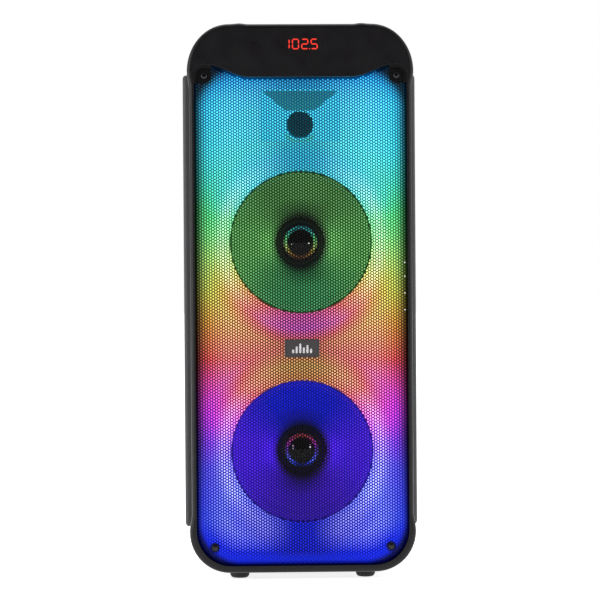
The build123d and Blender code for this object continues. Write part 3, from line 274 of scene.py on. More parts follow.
def cloth(name, colour, scale, glow=(0.0, 0.0, 0.0)):
    """A plain weave of crossing threads, with a faint painted glow for the light that it picks up."""
    m = Nodes(name)
    x, _, z = m.axes()
    warp = m.math("SINE", m.times(x, scale))
    weft = m.math("SINE", m.times(z, scale))
    weave = m.times(warp, weft)
    return m.principled(
        Base_Color=m.mix(m.spread(weave, -1, 1), scaled(colour, 0.6), colour),
        Roughness=0.85, Sheen_Weight=0.3, Emission_Color=glow, Emission_Strength=1.0,
        Normal=m.bump(weave, 0.4, 0.0002),
    )


def lit(name, colour, strength):
    """A lit lens or segment, a little hotter in its middle grain."""
    m = Nodes(name)
    hot = m.vary(m.noise(700.0, 1.0), 0.0, 1.0)
    return m.principled(
        Base_Color=(0.02, 0.01, 0.01), Roughness=0.3, Emission_Strength=strength,
        Emission_Color=m.mix(hot, scaled(colour, 0.85), colour),
    )


# ---- the light panel's colours, and the light and shade painted on the grille, cones, caps and horn

PANEL_GLOW = 1.80
PANEL_LOW = DIFFUSER_BOX[2]
PANEL_HIGH = DIFFUSER_BOX[5]
PANEL_CORNER = 0.060
# Height from 0 at the panel's foot to 1 at its top, and the light there, as linear red, green and blue
RAINBOW = (
    (0.00, (0.005, 0.02, 0.88)),
    (0.05, (0.01, 0.04, 1.00)),
    (0.09, (0.08, 0.13, 1.00)),
    (0.19, (0.14, 0.11, 1.00)),
    (0.25, (0.32, 0.07, 0.98)),
    (0.31, (0.78, 0.06, 0.86)),
    (0.37, (0.92, 0.09, 0.42)),
    (0.41, (0.92, 0.11, 0.12)),
    (0.48, (0.86, 0.38, 0.07)),
    (0.54, (0.68, 0.62, 0.10)),
    (0.60, (0.47, 0.78, 0.19)),
    (0.66, (0.24, 0.82, 0.25)),
    (0.71, (0.13, 0.82, 0.29)),
    (0.76, (0.09, 0.82, 0.58)),
    (0.83, (0.08, 0.82, 0.88)),
    (0.92, (0.06, 0.70, 0.98)),
    (1.00, (0.02, 0.34, 0.80)),
)
# The panel's brightness by the distance from its middle line, and by the distance from its rim
SIDE_REACH = 0.100
SIDE_LEVELS = ((0.0, 0.56), (0.24, 0.60), (0.57, 0.84), (0.90, 1.0))
RIM_REACH = 0.040
RIM_LEVELS = ((0.0, 0.04), (0.10, 0.16), (0.25, 0.55), (0.45, 0.92), (0.75, 1.0))
# The leaning collar round each woofer: its outer edge, and how much further out the colours are that are
# painted on it as a painted reflection, at its sides, its top and its foot
COLLAR_OUTER = 0.123
COLLAR_SHIFT = 0.040
COLLAR_SHIFT_ABOVE = 0.066
COLLAR_SHIFT_BELOW = 0.094
# A painted highlight: the pale ring on the collar's two sides
PALE_RING = 0.111
PALE_RING_HALF = 0.018
# The panel between the two woofers is a little paler and dimmer
MIDDLE_PALE = 0.13
MIDDLE_DIM = 0.86
# Painted glow: how much of the panel's light is painted on the grille's webs, in red, green and blue
WEB_SHARE = (0.120, 0.150, 0.200)
CONE_WEB_SHARES = {"upper": (0.006, 0.060, 0.006), "lower": (0.040, 0.020, 0.200)}
# a painted blue spill at the grille's foot, and painted shade round its screws
SPILL = (0.002, 0.010, 0.40)
SCREW_SHADES = (0.011, 0.0055)
CONE_EDGE = 0.098
CAP_EDGE = 0.034
TWEETER_BOX = span("tweeter_dome")
TWEETER_Z = middle_of(TWEETER_BOX, 2)
TWEETER_RADIUS = (TWEETER_BOX[3] - TWEETER_BOX[0]) / 2
# The painted light on each woofer's cone, at its sides, its top and its foot
CONE_GLOWS = {
    "upper": ((0.22, 0.60, 0.19), (0.14, 0.36, 0.12), (0.08, 0.39, 0.18)),
    "lower": ((0.120, 0.020, 0.92), (0.004, 0.016, 0.68), (0.065, 0.012, 0.46)),
}
# painted reflection on the dust caps: its strength, its ring's radius and the glints' distance from the
# middle
CAP_GLOW = 1.3
CAP_RING = 0.0205
GLINT_X = 0.0115
# Painted reflection on each dust cap: its ring's strength from foot to top, and its glints' height and half
# length
CAP_MIRRORS = {
    "upper": (((0.0, 0.12), (0.15, 0.35), (0.38, 0.9), (0.70, 0.7), (1.0, 0.30)), -0.0020, 0.0013),
    "lower": (
        ((0.0, 0.15), (0.10, 1.0), (0.36, 0.8), (0.46, 0.35), (0.75, 0.5), (1.0, 0.3)), 0.0045, 0.0032,
    ),
}
# painted light on the horn's faces, and the radius of the painted green arc under the dome
HORN_GLOW = 1.5
HORN_ARC = 0.0235


def from_centre(m, x, z, centre):
    """Height above a centre, distance from it, and how far up or down that direction points."""
    rise = m.minus(z, centre)
    away = m.length(x, rise)
    return rise, away, m.math("DIVIDE", rise, away)


def from_rim(m, x, z):
    """How far inside the panel's rim, along a rounded rectangle with wide corners."""
    half_wide = (DIFFUSER_BOX[3] - DIFFUSER_BOX[0]) / 2
    half_tall = (PANEL_HIGH - PANEL_LOW) / 2
    over = m.math("MAXIMUM", m.minus(m.gap(x), half_wide - PANEL_CORNER), 0.0)
    rise = m.gap(z, middle_of(DIFFUSER_BOX, 2))
    above = m.math("MAXIMUM", m.minus(rise, half_tall - PANEL_CORNER), 0.0)
    return m.minus(PANEL_CORNER, m.length(over, above))


def sideways(m, tall):
    """1 beside a centre and 0 straight above or below it."""
    return m.minus(1.0, m.times(tall, tall))


def panel_light(m, x, z):
    """The diffuser's colour, how pale it is and how bright it is: coloured by height, dimmer in the middle
    and at the rims. The collar round each woofer leans, and the colours from further out are painted on
    it as a painted reflection of the light its lean catches, with a painted highlight at the woofer's two
    sides."""
    rim = from_rim(m, x, z)
    height = z
    beside = m.spread(m.gap(x), 0.015, 0.050)
    pale = m.times(beside, m.spread(z, PANEL_LOW, PANEL_LOW + 0.150, 0.26, 0.06))
    # painted reflection and highlight on each collar: colours shifted by its lean, paler at its sides
    for centre in WOOFERS.values():
        _, away, tall = from_centre(m, x, z, centre)
        below = m.spread(tall, -1.0, 0.0, COLLAR_SHIFT_BELOW, COLLAR_SHIFT)
        above = m.spread(tall, 0.0, 1.0, 0.0, COLLAR_SHIFT_ABOVE - COLLAR_SHIFT)
        collar = m.fade(away, COLLAR_OUTER - 0.004, COLLAR_OUTER + 0.020)
        shift = m.times(collar, m.math("ADD", below, above))
        height = m.math("MULTIPLY_ADD", shift, tall, height)
        ring = m.spread(m.gap(away, PALE_RING), 0.0, PALE_RING_HALF, 0.36, 0.0)
        pale = m.math("MULTIPLY_ADD", ring, sideways(m, tall), pale)
    between = m.fade(m.gap(z, sum(WOOFERS.values()) / 2), 0.030, 0.075)
    pale = m.math("MULTIPLY_ADD", between, MIDDLE_PALE, pale)
    pale = m.times(pale, m.spread(rim, 0.016, 0.042))
    tone = m.ramp(m.spread(height, PANEL_LOW, PANEL_HIGH), RAINBOW)
    across = m.ramp(m.times(m.gap(x), 1 / SIDE_REACH), SIDE_LEVELS)
    falloff = m.ramp(m.times(rim, 1 / RIM_REACH), RIM_LEVELS)
    level = m.times(m.times(across, falloff), m.spread(x, -0.140, 0.140, 0.96, 1.10))
    level = m.times(level, m.spread(between, 0.0, 1.0, 1.0, MIDDLE_DIM))
    return tone, pale, level


def cone_light(m, x, z, woofer):
    """The colour and brightness of the light painted on a woofer's cone, and the distance from its centre:
    a painted bright lobe each side of the cap, painted shadow above and below it and round the cap's edge."""
    side, top, foot = CONE_GLOWS[woofer]
    _, away, tall = from_centre(m, x, z, WOOFERS[woofer])
    tone = m.ramp(m.spread(tall, -1, 1), ((0.0, foot), (0.35, side), (0.60, side), (0.92, top)))
    flank = sideways(m, tall)
    close = m.fade(away, 0.036, 0.062)
    lobe = m.times(m.times(close, m.math("POWER", flank, 3.0)), 0.55)
    shade = m.times(m.times(close, m.minus(1.0, flank)), 0.80)
    edge_shade = m.spread(away, CAP_EDGE, CAP_EDGE + 0.010, 0.25, 1.0)
    level = m.times(m.minus(m.math("ADD", 1.0, lobe), shade), edge_shade)
    return tone, level, away


def light_panel(name):
    """The milky diffuser with the LED colours behind it."""
    m = Nodes(name)
    x, _, z = m.axes()
    tone, pale, level = panel_light(m, x, z)
    whiter = m.mix(1.0, tone, m.ramp(pale, ((0.0, 0.0), (1.0, 1.0))), "ADD")
    return m.principled(
        Base_Color=(0.05, 0.05, 0.05), Roughness=0.45, Specular_IOR_Level=0.2, Emission_Color=whiter,
        Emission_Strength=m.times(level, PANEL_GLOW), Normal=m.bump(m.noise(500.0), 0.1, 0.00005),
    )


def lit_grille(name, colour, roughness, specular):
    """Black powder-coated steel with a painted glow: its webs and the walls of its holes are painted with
    the
    light behind them: the panel's colours, the cones' over the woofers, painted shade over the dome, the
    caps and the screws, and a painted blue spill at the foot."""
    m = Nodes(name)
    x, _, z = m.axes()
    tone, _, level = panel_light(m, x, z)
    painted_glow = m.product(m.product(m.deepen(tone, 1.5), level), WEB_SHARE)
    for woofer in WOOFERS:
        cone_tone, cone_level, away = cone_light(m, x, z, woofer)
        cone_painted_glow = m.product(m.product(cone_tone, cone_level), CONE_WEB_SHARES[woofer])
        painted_glow = m.mix(m.fade(away, CONE_EDGE - 0.002, CONE_EDGE + 0.002), painted_glow, cone_painted_glow)
        # painted shade round each dust cap
        painted_glow = m.product(painted_glow, m.spread(away, CAP_EDGE, CAP_EDGE + 0.006))
    past_dome = m.minus(m.length(x, m.minus(z, TWEETER_Z)), TWEETER_RADIUS)
    # painted shade over the dome
    painted_glow = m.product(painted_glow, m.spread(past_dome, -0.001, 0.002, 0.12, 1.0))
    rim = m.spread(from_rim(m, x, z), -0.006, 0.018)
    edge = m.ramp(rim, ((0.0, 0.0), (0.28, 0.06), (0.52, 1.0), (1.0, 0.0)))
    # painted blue spill along the rim at the foot
    spill = m.product(edge, m.fade(z, PANEL_LOW, PANEL_LOW + 0.170))
    painted_glow = m.mix(1.0, painted_glow, m.product(SPILL, spill), "ADD")
    # painted shade round each screw
    for (screw_x, screw_z), reach in zip(SCREWS, SCREW_SHADES):
        away = m.length(m.minus(m.gap(x), screw_x), m.minus(z, screw_z))
        painted_glow = m.product(painted_glow, m.spread(away, reach, 1.6 * reach, 0.05, 1.0))
    peel = m.noise(1400.0, 1.0)
    return m.principled(
        Base_Color=colour, Roughness=m.vary(peel, roughness - 0.05, roughness + 0.05),
        Specular_IOR_Level=specular, Emission_Color=painted_glow, Emission_Strength=PANEL_GLOW,
        Normal=m.bump(peel, 0.2, 0.00004),
    )


def cone_painted_light(name, woofer, gloss):
    """A glossy dark cone, or its rubber surround, with the panel's colours painted on it as a glow."""
    m = Nodes(name)
    x, _, z = m.axes()
    tone, level, _ = cone_light(m, x, z, woofer)
    uneven = m.vary(m.noise(26.0, 3.0), 0.88, 1.12)
    return m.principled(
        Base_Color=(0.008, 0.008, 0.009), Roughness=gloss, Coat_Weight=0.2, Specular_IOR_Level=0.3,
        Emission_Color=tone, Emission_Strength=m.times(level, uneven),
        Normal=m.bump(m.noise(300.0), 0.15, 0.00008),
    )


def cap_painted_reflection(name, centre, sides, glint_at, glint_tall):
    """A polished dust cap with a painted reflection: a soft ring of the panel's colours painted on its
    shoulder, with a painted glint on each side of the middle. sides says how strong the ring is from its
    foot to its top."""
    m = Nodes(name)
    x, _, z = m.axes()
    rise, away, tall = from_centre(m, x, z, centre)
    ring = m.product(m.fade(m.gap(away, CAP_RING), 0.0004, 0.0034), m.ramp(m.spread(tall, -1, 1), sides))
    # the painted reflection copies the panel above and below the cap, so its colours span a greater height
    height = m.spread(m.math("MULTIPLY_ADD", tall, 0.130, centre), PANEL_LOW, PANEL_HIGH)
    across = m.gap(m.gap(x), GLINT_X)
    along = m.times(m.gap(rise, glint_at), 0.0012 / glint_tall)
    glint = m.spread(m.math("MAXIMUM", across, along), 0.0007, 0.0014, 0.8, 0.0)
    return m.principled(
        Base_Color=(0.004, 0.004, 0.005), Roughness=0.12, Coat_Weight=0.6, Specular_IOR_Level=0.3,
        Emission_Color=m.mix(glint, m.ramp(height, RAINBOW), (0.75, 0.90, 0.80)),
        Emission_Strength=m.times(m.math("MAXIMUM", ring, glint), CAP_GLOW),
        Normal=m.bump(m.noise(60.0), 0.05, 0.00005),
    )


def horn_painted_light(name, colour):
    """The horn's gloss black faces, with painted light on each by its slope, as the panel round it would
    light it, and a painted green arc under the dome."""
    m = Nodes(name)
    x, _, z = m.axes()
    lean = m.spread(m.axes("Normal")[2], -1, 1)
    level = m.ramp(lean, ((0.0, 0.22), (0.25, 0.32), (0.5, 1.0), (1.0, 0.7)))
    shaded = m.ramp(lean, ((0.0, (0.07, 0.62, 0.40)), (0.35, (0.07, 0.66, 0.60)), (0.5, colour)))
    _, away, tall = from_centre(m, x, z, TWEETER_Z)
    band = m.spread(m.gap(away, HORN_ARC), 0.0015, 0.0035, 0.8, 0.0)
    arc = m.times(band, m.fade(tall, -0.75, -0.35))
    return m.principled(
        Base_Color=(0.012, 0.012, 0.013), Roughness=0.25, Coat_Weight=0.4,
        Emission_Color=m.mix(arc, shaded, (0.06, 0.42, 0.16)), Emission_Strength=m.times(level, HORN_GLOW),
        Normal=m.bump(m.noise(400.0), 0.1, 0.00004),
    )


# ---- mesh helpers


SHARP_EDGE = math.radians(35)


def add_object(name, data):
    thing = bpy.data.objects.new(name, data)
    bpy.context.scene.collection.objects.link(thing)
    return thing


def mesh_piece(name, points, faces, node_slot, body=CABINET, smooth=False, finish=None):
    """A new piece from points and faces, riding on a body, or on none yet. It has the finish of its slot's
    name unless another is named."""
    mesh = bpy.data.meshes.new(name)
    mesh.from_pydata([tuple(p) for p in points], [], [tuple(f) for f in faces])
    mesh.validate()
    mesh.update()
    piece = add_object(name, mesh)
    mesh.materials.append(materials[finish or node_slot])
    if smooth:
        mesh.shade_smooth()
        mesh.set_sharp_from_angle(angle=SHARP_EDGE)
    if body is not None:
        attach(piece, body)
    return piece


def round_point(centre, radius, angle):
    """The point at an angle on a circle."""
    return centre[0] + radius * math.cos(angle), centre[1] + radius * math.sin(angle)


def ease(t):
    """Runs from 0 to 1 with a soft start and end."""
    return t * t * (3 - 2 * t)


def gather(parts):
    """Several (points, faces) as one, with the faces renumbered."""
    points, faces = [], []
    for some, loops in parts:
        start = len(points)
        points += some
        faces += [[start + i for i in loop] for loop in loops]
    return points, faces


def strip(count, rings, closed=True):
    """Four-sided faces between rings of count points, and from the last ring to the first if closed."""
    faces = []
    for r in range(rings if closed else rings - 1):
        s = (r + 1) % rings
        for i in range(count):
            j = (i + 1) % count
            faces.append((r * count + i, r * count + j, s * count + j, s * count + i))
    return faces


def lathe(profile, centre, axis, start, steps=96):
    """Turns (radius, height) points about the axis through centre: axis and start are unit vectors."""
    axis, start = Vector(axis), Vector(start)
    side = axis.cross(start)
    points = []
    for k in range(steps):
        angle = TAU * k / steps
        out = math.cos(angle) * start + math.sin(angle) * side
        points += [Vector(centre) + radius * out + height * axis for radius, height in profile]
    return points, strip(len(profile), steps)


def plate(outline, place, depth, bevel):
    """A flat plate with a bevelled rim: outline is a loop of (across, up), place turns (across, up, out)
    into a point, and depth is how far it stands out."""
    centre = sum((Vector(p) for p in outline), Vector((0, 0))) / len(outline)
    rings = []
    for inset, out in ((0.0, 0.0), (0.0, depth - bevel), (bevel, depth)):
        ring = []
        for p in outline:
            inward = centre - Vector(p)
            q = Vector(p) + inward.normalized() * min(inset, inward.length)
            ring.append(place(q.x, q.y, out))
        rings.append(ring)
    count = len(outline)
    faces = strip(count, 3, closed=False)
    faces.append(tuple(range(2 * count, 3 * count)))
    faces.append(tuple(reversed(range(count))))
    return rings[0] + rings[1] + rings[2], faces


def rounded_bar(x, z, wide, tall, radius, steps=5):
    """The outline of an upright bar with round corners, centred at (x, z)."""
    outline = []
    for turn, (side, level) in enumerate(((1, 1), (-1, 1), (-1, -1), (1, -1))):
        corner = (x + side * (wide / 2 - radius), z + level * (tall / 2 - radius))
        for k in range(steps + 1):
            outline.append(round_point(corner, radius, (turn + k / steps) * TAU / 4))
    return outline


def on_front(y, x=0, z=0):
    """Places (across, up, out) from a point on a face that looks towards -Y."""
    return lambda across, up, out: Vector((x + across, y - out, z + up))


def on_top(z):
    """Places (across, back, out) on a face that looks up."""
    return lambda across, back, out: Vector((across, back, z + out))


# ---- the perforated grille

GRILLE_LOW, GRILLE_HIGH = GRILLE_BOX[2], GRILLE_BOX[5]
GRILLE_HALF = (GRILLE_BOX[3] - GRILLE_BOX[0]) / 2
LOW_RADIUS = 0.0476
HIGH_RADIUS = 0.0136
TONGUE_HALF = 0.0675
TONGUE_DROP = 0.0172
HOLE_EDGE = 0.0021
SCREW_CLEAR = 0.0048
GRILLE_BANDS = 6
HOLE_SIDES = 12


def grille_outline(steps=24):
    """The grille's outer edge as a closed loop of (x, z): round lower corners, and a top edge that dips
    in a soft wave under the display's tongue."""
    low = (GRILLE_HALF - LOW_RADIUS, GRILLE_LOW + LOW_RADIUS)
    high = (GRILLE_HALF - HIGH_RADIUS, GRILLE_HIGH - HIGH_RADIUS)
    right = []
    for centre, radius, start in ((low, LOW_RADIUS, -TAU / 4), (high, HIGH_RADIUS, 0)):
        for k in range(steps + 1):
            right.append(round_point(centre, radius, start + TAU / 4 * k / steps))
    for k in range(1, steps + 1):
        t = k / steps
        right.append((high[0] + (TONGUE_HALF - high[0]) * t, GRILLE_HIGH - TONGUE_DROP * ease(t)))
    left = [(-x, z) for x, z in reversed(right)]
    return np.array(right + left)


def edge_distance(points, outline):
    """How far each (x, z) is inside the outline, negative outside, and its nearest point on the outline."""
    ends = np.roll(outline, -1, axis=0)
    best = np.full(len(points), np.inf)
    nearest = np.zeros_like(points)
    inside = np.zeros(len(points), bool)
    for start, end in zip(outline, ends):
        step = end - start
        square = (step**2).sum()
        if square == 0:
            continue
        along = np.clip(((points - start) @ step) / square, 0, 1)
        foot = start + along[:, None] * step
        gap = np.hypot(*(points - foot).T)
        closer = gap < best
        best = np.where(closer, gap, best)
        nearest[closer] = foot[closer]
        crosses = (start[1] > points[:, 1]) != (end[1] > points[:, 1])
        if step[1] != 0:
            at = start[0] + (points[:, 1] - start[1]) * step[0] / step[1]
            inside ^= crosses & (points[:, 0] < at)
    return np.where(inside, best, -best), nearest


def roll_depth(distance):
    """How far back the sheet is at a distance from the edge, where it rolls towards the baffle."""
    short = np.clip(GRILLE_ROLL - distance, 0, GRILLE_ROLL)
    return GRILLE_ROLL - np.sqrt(GRILLE_ROLL**2 - short**2)


def cell_centres(outline):
    """The hexagonal lattice of hole centres that the outline holds."""
    column = HOLE_PITCH * math.sqrt(3) / 2
    across = math.ceil(GRILLE_HALF / column)
    up = math.ceil((GRILLE_HIGH - GRILLE_LOW) / HOLE_PITCH)
    centres = []
    for i in range(-across, across + 1):
        shift = HOLE_PITCH / 2 * (i % 2)
        for j in range(-1, up + 2):
            centres.append((i * column, GRILLE_LOW + j * HOLE_PITCH + shift))
    centres = np.array(centres)
    distance, _ = edge_distance(centres, outline)
    kept = distance > -0.45 * HOLE_PITCH
    return centres[kept], distance[kept]


def evenly_round(sides, reach):
    """Points evenly spaced on a circle."""
    turn = np.arange(sides) * TAU / sides
    return reach * np.stack([np.cos(turn), np.sin(turn)], 1)


def holed(centres, distance):
    """Which cells are punched: not at the rolled edge, nor round a screw."""
    clear = distance > HOLE_EDGE
    for x, z in SCREWS:
        clear &= np.hypot(np.abs(centres[:, 0]) - x, centres[:, 1] - z) > SCREW_CLEAR
    return clear


def build_grille():
    """The punched sheet as bands of six-sided cells, one hole in each, and a plain rim behind the rolled
    edge, which together stand in for the CAD's plain sheet."""
    outline = grille_outline()
    centres, distance = cell_centres(outline)
    punched = holed(centres, distance)
    corners = evenly_round(6, HOLE_PITCH / math.sqrt(3))
    rim = evenly_round(HOLE_SIDES, HOLE_RADIUS)
    band_tall = (GRILLE_HIGH - GRILLE_LOW) / GRILLE_BANDS
    band = np.clip(((centres[:, 1] - GRILLE_LOW) // band_tall).astype(int), 0, GRILLE_BANDS - 1)
    pieces = []
    for b in range(GRILLE_BANDS):
        loops, points = [], []
        for is_punched in (True, False):
            chosen = centres[(band == b) & (punched == is_punched)]
            if not len(chosen):
                continue
            ring = np.concatenate([corners, rim]) if is_punched else corners
            flat = (chosen[:, None, :] + ring[None, :, :]).reshape(-1, 2)
            loops.append((len(chosen), is_punched))
            points.append(flat)
        flat = np.concatenate(points)
        half = len(flat)
        vertices = sheet_points(flat, outline)
        faces = []
        start = 0
        for count, is_punched in loops:
            size = 6 + HOLE_SIDES if is_punched else 6
            for k in range(count):
                faces += cell_faces(start + k * size, half, is_punched)
            start += count * size
        pieces.append(mesh_piece(f"grille_band_{b + 1}", vertices, faces, "grille_steel"))
    pieces.append(build_rim(outline))
    for piece in pieces:
        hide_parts("front_grille")


def sheet_points(flat, outline):
    """The front and then the back of the sheet at each (x, z), which is drawn in to the outline. The
    sheet's thickness points backwards, and inwards too on the roll."""
    away, nearest = edge_distance(flat, outline)
    flat = np.where((away < 0)[:, None], nearest, flat)
    away = np.maximum(away, 0)
    front = np.stack([flat[:, 0], GRILLE_Y + roll_depth(away), flat[:, 1]], 1)
    lean = np.clip(1 - away / GRILLE_ROLL, 0, 1)[:, None]
    inward = np.array([0, (GRILLE_LOW + GRILLE_HIGH) / 2]) - flat
    inward = np.sign(inward) * 0.4 * GRILLE_SHEET * lean
    rear = front + np.stack([inward[:, 0], np.full(len(flat), GRILLE_SHEET * 0.8), inward[:, 1]], 1)
    return np.concatenate([front, rear])


def cell_faces(s, half, is_punched):
    """One cell's faces: front and back webs and the hole's wall, or a blank hexagon. s is the cell's first
    point on the front, and half is how much later the back's points come."""
    if not is_punched:
        front = [s + i for i in range(6)]
        return [front, [half + i for i in reversed(front)]]
    faces = []
    for i in range(6):
        j = (i + 1) % 6
        a, b = s + i, s + j
        p, q, r = (s + 6 + (2 * i + k) % HOLE_SIDES for k in range(3))
        webs = [(a, q, p), (a, b, q), (b, r, q)]
        faces += webs
        faces += [tuple(half + corner for corner in (web[0], web[2], web[1])) for web in webs]
        faces += [(p, q, half + q, half + p), (q, r, half + r, half + q)]
    return faces


def build_rim(outline):
    """The straight lip behind the roll, one sheet thick."""
    step = np.roll(outline, -1, axis=0) - np.roll(outline, 1, axis=0)
    normal = np.stack([-step[:, 1], step[:, 0]], 1)
    normal /= np.hypot(*normal.T)[:, None]
    inner = outline + normal * GRILLE_SHEET
    front = GRILLE_Y + GRILLE_ROLL
    rear = GRILLE_BOX[4]
    rings = ((outline, front), (outline, rear), (inner, rear), (inner, front))
    points = [(x, y, z) for ring, y in rings for x, z in ring]
    faces = strip(len(outline), len(rings))
    return mesh_piece("grille_rim", points, faces, "grille_steel", smooth=True)


# ---- the woofers' flexing rings

SHEET_RUBBER = 0.001
ROLL_IN, ROLL_OUT, ROLL_RISE = 0.082, 0.094, 0.006
LIP_OVERLAP = 0.0025
COIL_WINDING = 0.0006
SPIDER_GLUE = 0.004
SPIDER_HELD = 0.056
SPIDER_WAVES = 4
SPIDER_SWING = 0.0008
SPIDER_THICK = 0.0006


def flexing_ring(name, profile, node_slot, woofer, free, held):
    """A ring turned from a profile of (radius, depth): it follows the cone inside the free radius and the
    cabinet outside the held one, and replaces the CAD's rigid ring of the same name."""
    centre, depth = WOOFERS[woofer], profile[0][1]
    points, faces = lathe(profile, (0, 0, centre), (0, 1, 0), (1, 0, 0), 120)
    finish = name if name in materials else node_slot
    piece = mesh_piece(f"{name}_flexing", points, faces, node_slot, None, True, finish)
    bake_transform(piece, CABINET, f"{woofer}_cone_unit", (held, depth, centre), (free, depth, centre))
    share = piece.data.attributes["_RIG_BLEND"].data
    for vertex, weight in zip(piece.data.vertices, share):
        reach = math.hypot(vertex.co.x, vertex.co.z - centre)
        t = min(1.0, max(0.0, (held - reach) / (held - free)))
        weight.value = ease(t)
    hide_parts(name)


def surround_profile(reach, back_face, cone_reach):
    """A half roll of rubber with a flat lip on the frame and one on the cone's rim."""
    steps = 16
    lip = back_face - SHEET_RUBBER
    middle, half = (ROLL_IN + ROLL_OUT) / 2, (ROLL_OUT - ROLL_IN) / 2
    front, back = [(cone_reach, lip)], [(cone_reach, back_face)]
    for k in range(steps + 1):
        angle = math.pi * k / steps
        out, rise = math.cos(angle), math.sin(angle)
        front.append((middle - half * out, lip - ROLL_RISE * rise))
        back.append((middle - (half - SHEET_RUBBER) * out, back_face - ROLL_RISE * rise))
    front.append((reach, lip))
    back.append((reach, back_face))
    return front + back[::-1]


def spider_profile(inner, outer, middle, steps=64):
    """A corrugated disc, flat where it is glued to the basket."""
    front = []
    for k in range(steps + 1):
        share = k / steps
        flat = min(1.0, 8 * (1 - share))
        wave = flat * math.sin(TAU * SPIDER_WAVES * share) + 1 - flat
        front.append((inner + (outer - inner) * share, middle - SPIDER_THICK / 2 + SPIDER_SWING * wave))
    return front + [(radius, depth + SPIDER_THICK) for radius, depth in reversed(front)]


def build_flexing_rings():
    """Each woofer's surround and spider, which stretch as the cone moves."""
    for woofer in WOOFERS:
        name = f"{woofer}_surround"
        reach, back_face = span(name)[3:5]
        profile = surround_profile(reach, back_face, span(f"{woofer}_cone")[3] - LIP_OVERLAP)
        flexing_ring(name, profile, "surround_rubber", woofer, ROLL_IN, ROLL_OUT)
        name = f"{woofer}_spider"
        inner = span(f"{woofer}_voice_coil")[3] - COIL_WINDING
        profile = spider_profile(inner, span(name)[3], middle_of(span(name), 1))
        flexing_ring(name, profile, "spider_cloth", woofer, inner + SPIDER_GLUE, SPIDER_HELD)


# ---- the display and the badge

DISPLAY_BOX = span("display_window")
DIGITS = "1025"
DIGIT_TALL = 0.0130
DIGIT_WIDE = 0.0082
DIGIT_STEP = 0.0128
STROKE = 0.0017
STROKE_GAP = 0.0003
LIT_DEPTH = 0.00035
SEGMENTS = {"0": "abcdef", "1": "bc", "2": "abged", "5": "afgcd"}
# Where a digit's strokes are, in half widths and half heights, and whether they lie flat
STROKE_PLACES = {
    "a": (0, 1, True), "b": (1, 0.5, False), "c": (1, -0.5, False), "d": (0, -1, True),
    "e": (-1, -0.5, False), "f": (-1, 0.5, False), "g": (0, 0, True),
}


def segment_bar(name, x, z):
    """One stroke of a seven-segment digit centred at (x, z): its outline, pointed at both ends."""
    half_wide, half_tall = DIGIT_WIDE / 2, DIGIT_TALL / 2
    side, level, flat = STROKE_PLACES[name]
    reach = (half_wide if flat else half_tall / 2) - STROKE_GAP
    tip = STROKE / 2
    below = [(-reach, 0), (-reach + tip, -tip), (reach - tip, -tip)]
    along = below + [(-a, -b) for a, b in below]
    if not flat:
        along = [(-b, a) for a, b in along]
    return [(x + side * half_wide + a, z + level * half_tall + b) for a, b in along]


def build_display():
    """The lit digits, set in the smoked window's face, and the point before the last one."""
    middle = (middle_of(DISPLAY_BOX, 0), middle_of(DISPLAY_BOX, 2))
    place = on_front(DISPLAY_BOX[1] + 0.0003)
    parts = []
    for k, digit in enumerate(DIGITS):
        x = middle[0] + (k - (len(DIGITS) - 1) / 2) * DIGIT_STEP
        for name in SEGMENTS[digit]:
            parts.append(plate(segment_bar(name, x, middle[1]), place, LIT_DEPTH, 0.0001))
    point_x = middle[0] + DIGIT_STEP
    dot = rounded_bar(point_x, middle[1] - DIGIT_TALL / 2, STROKE, STROKE, STROKE * 0.45)
    parts.append(plate(dot, place, LIT_DEPTH, 0.0001))
    mesh_piece("display_digits", *gather(parts), "display_red")


BADGE_BOX = span("badge_plate")
BAR_HEIGHTS = (0.0050, 0.0092, 0.0132, 0.0078, 0.0110, 0.0060)
BAR_WIDE = 0.0028
BAR_STEP = 0.0049
BAR_CORNER = 0.0009
BAR_DEPTH = 0.0006
FRAME_INSET = 0.0015
FRAME_CORNER = 0.0022
FRAME_THICK = 0.0007
FRAME_DEPTH = 0.0004


def build_badge():
    """A plain emblem of level bars standing on the badge, inside a thin raised frame."""
    middle = (middle_of(BADGE_BOX, 0), middle_of(BADGE_BOX, 2))
    place = on_front(BADGE_BOX[1] + 0.0001)
    foot = middle[1] - max(BAR_HEIGHTS) / 2
    parts = []
    for k, tall in enumerate(BAR_HEIGHTS):
        x = middle[0] + (k - (len(BAR_HEIGHTS) - 1) / 2) * BAR_STEP
        bar = rounded_bar(x, foot + tall / 2, BAR_WIDE, tall, BAR_CORNER)
        parts.append(plate(bar, place, BAR_DEPTH, 0.0002))
    mesh_piece("badge_emblem", *gather(parts), "emblem_white")
    wide = BADGE_BOX[3] - BADGE_BOX[0] - 2 * FRAME_INSET
    tall = BADGE_BOX[5] - BADGE_BOX[2] - 2 * FRAME_INSET
    mesh_piece("badge_frame", *frame_ring(middle, wide, tall, place), "badge_metal")


def frame_ring(middle, wide, tall, place):
    """A thin raised band round a rounded rectangle."""
    outer = rounded_bar(*middle, wide, tall, FRAME_CORNER, 8)
    hollow = (wide - 2 * FRAME_THICK, tall - 2 * FRAME_THICK, FRAME_CORNER - FRAME_THICK)
    inner = rounded_bar(*middle, *hollow, 8)
    rings = ((outer, 0.0), (outer, FRAME_DEPTH), (inner, FRAME_DEPTH), (inner, 0.0))
    points = [place(x, z, out) for ring, out in rings for x, z in ring]
    return points, strip(len(outer), len(rings))


# ---- screws, lamps and deck prints

SCREW_HEAD = 0.0042
SOCKET_ACROSS = 0.0022


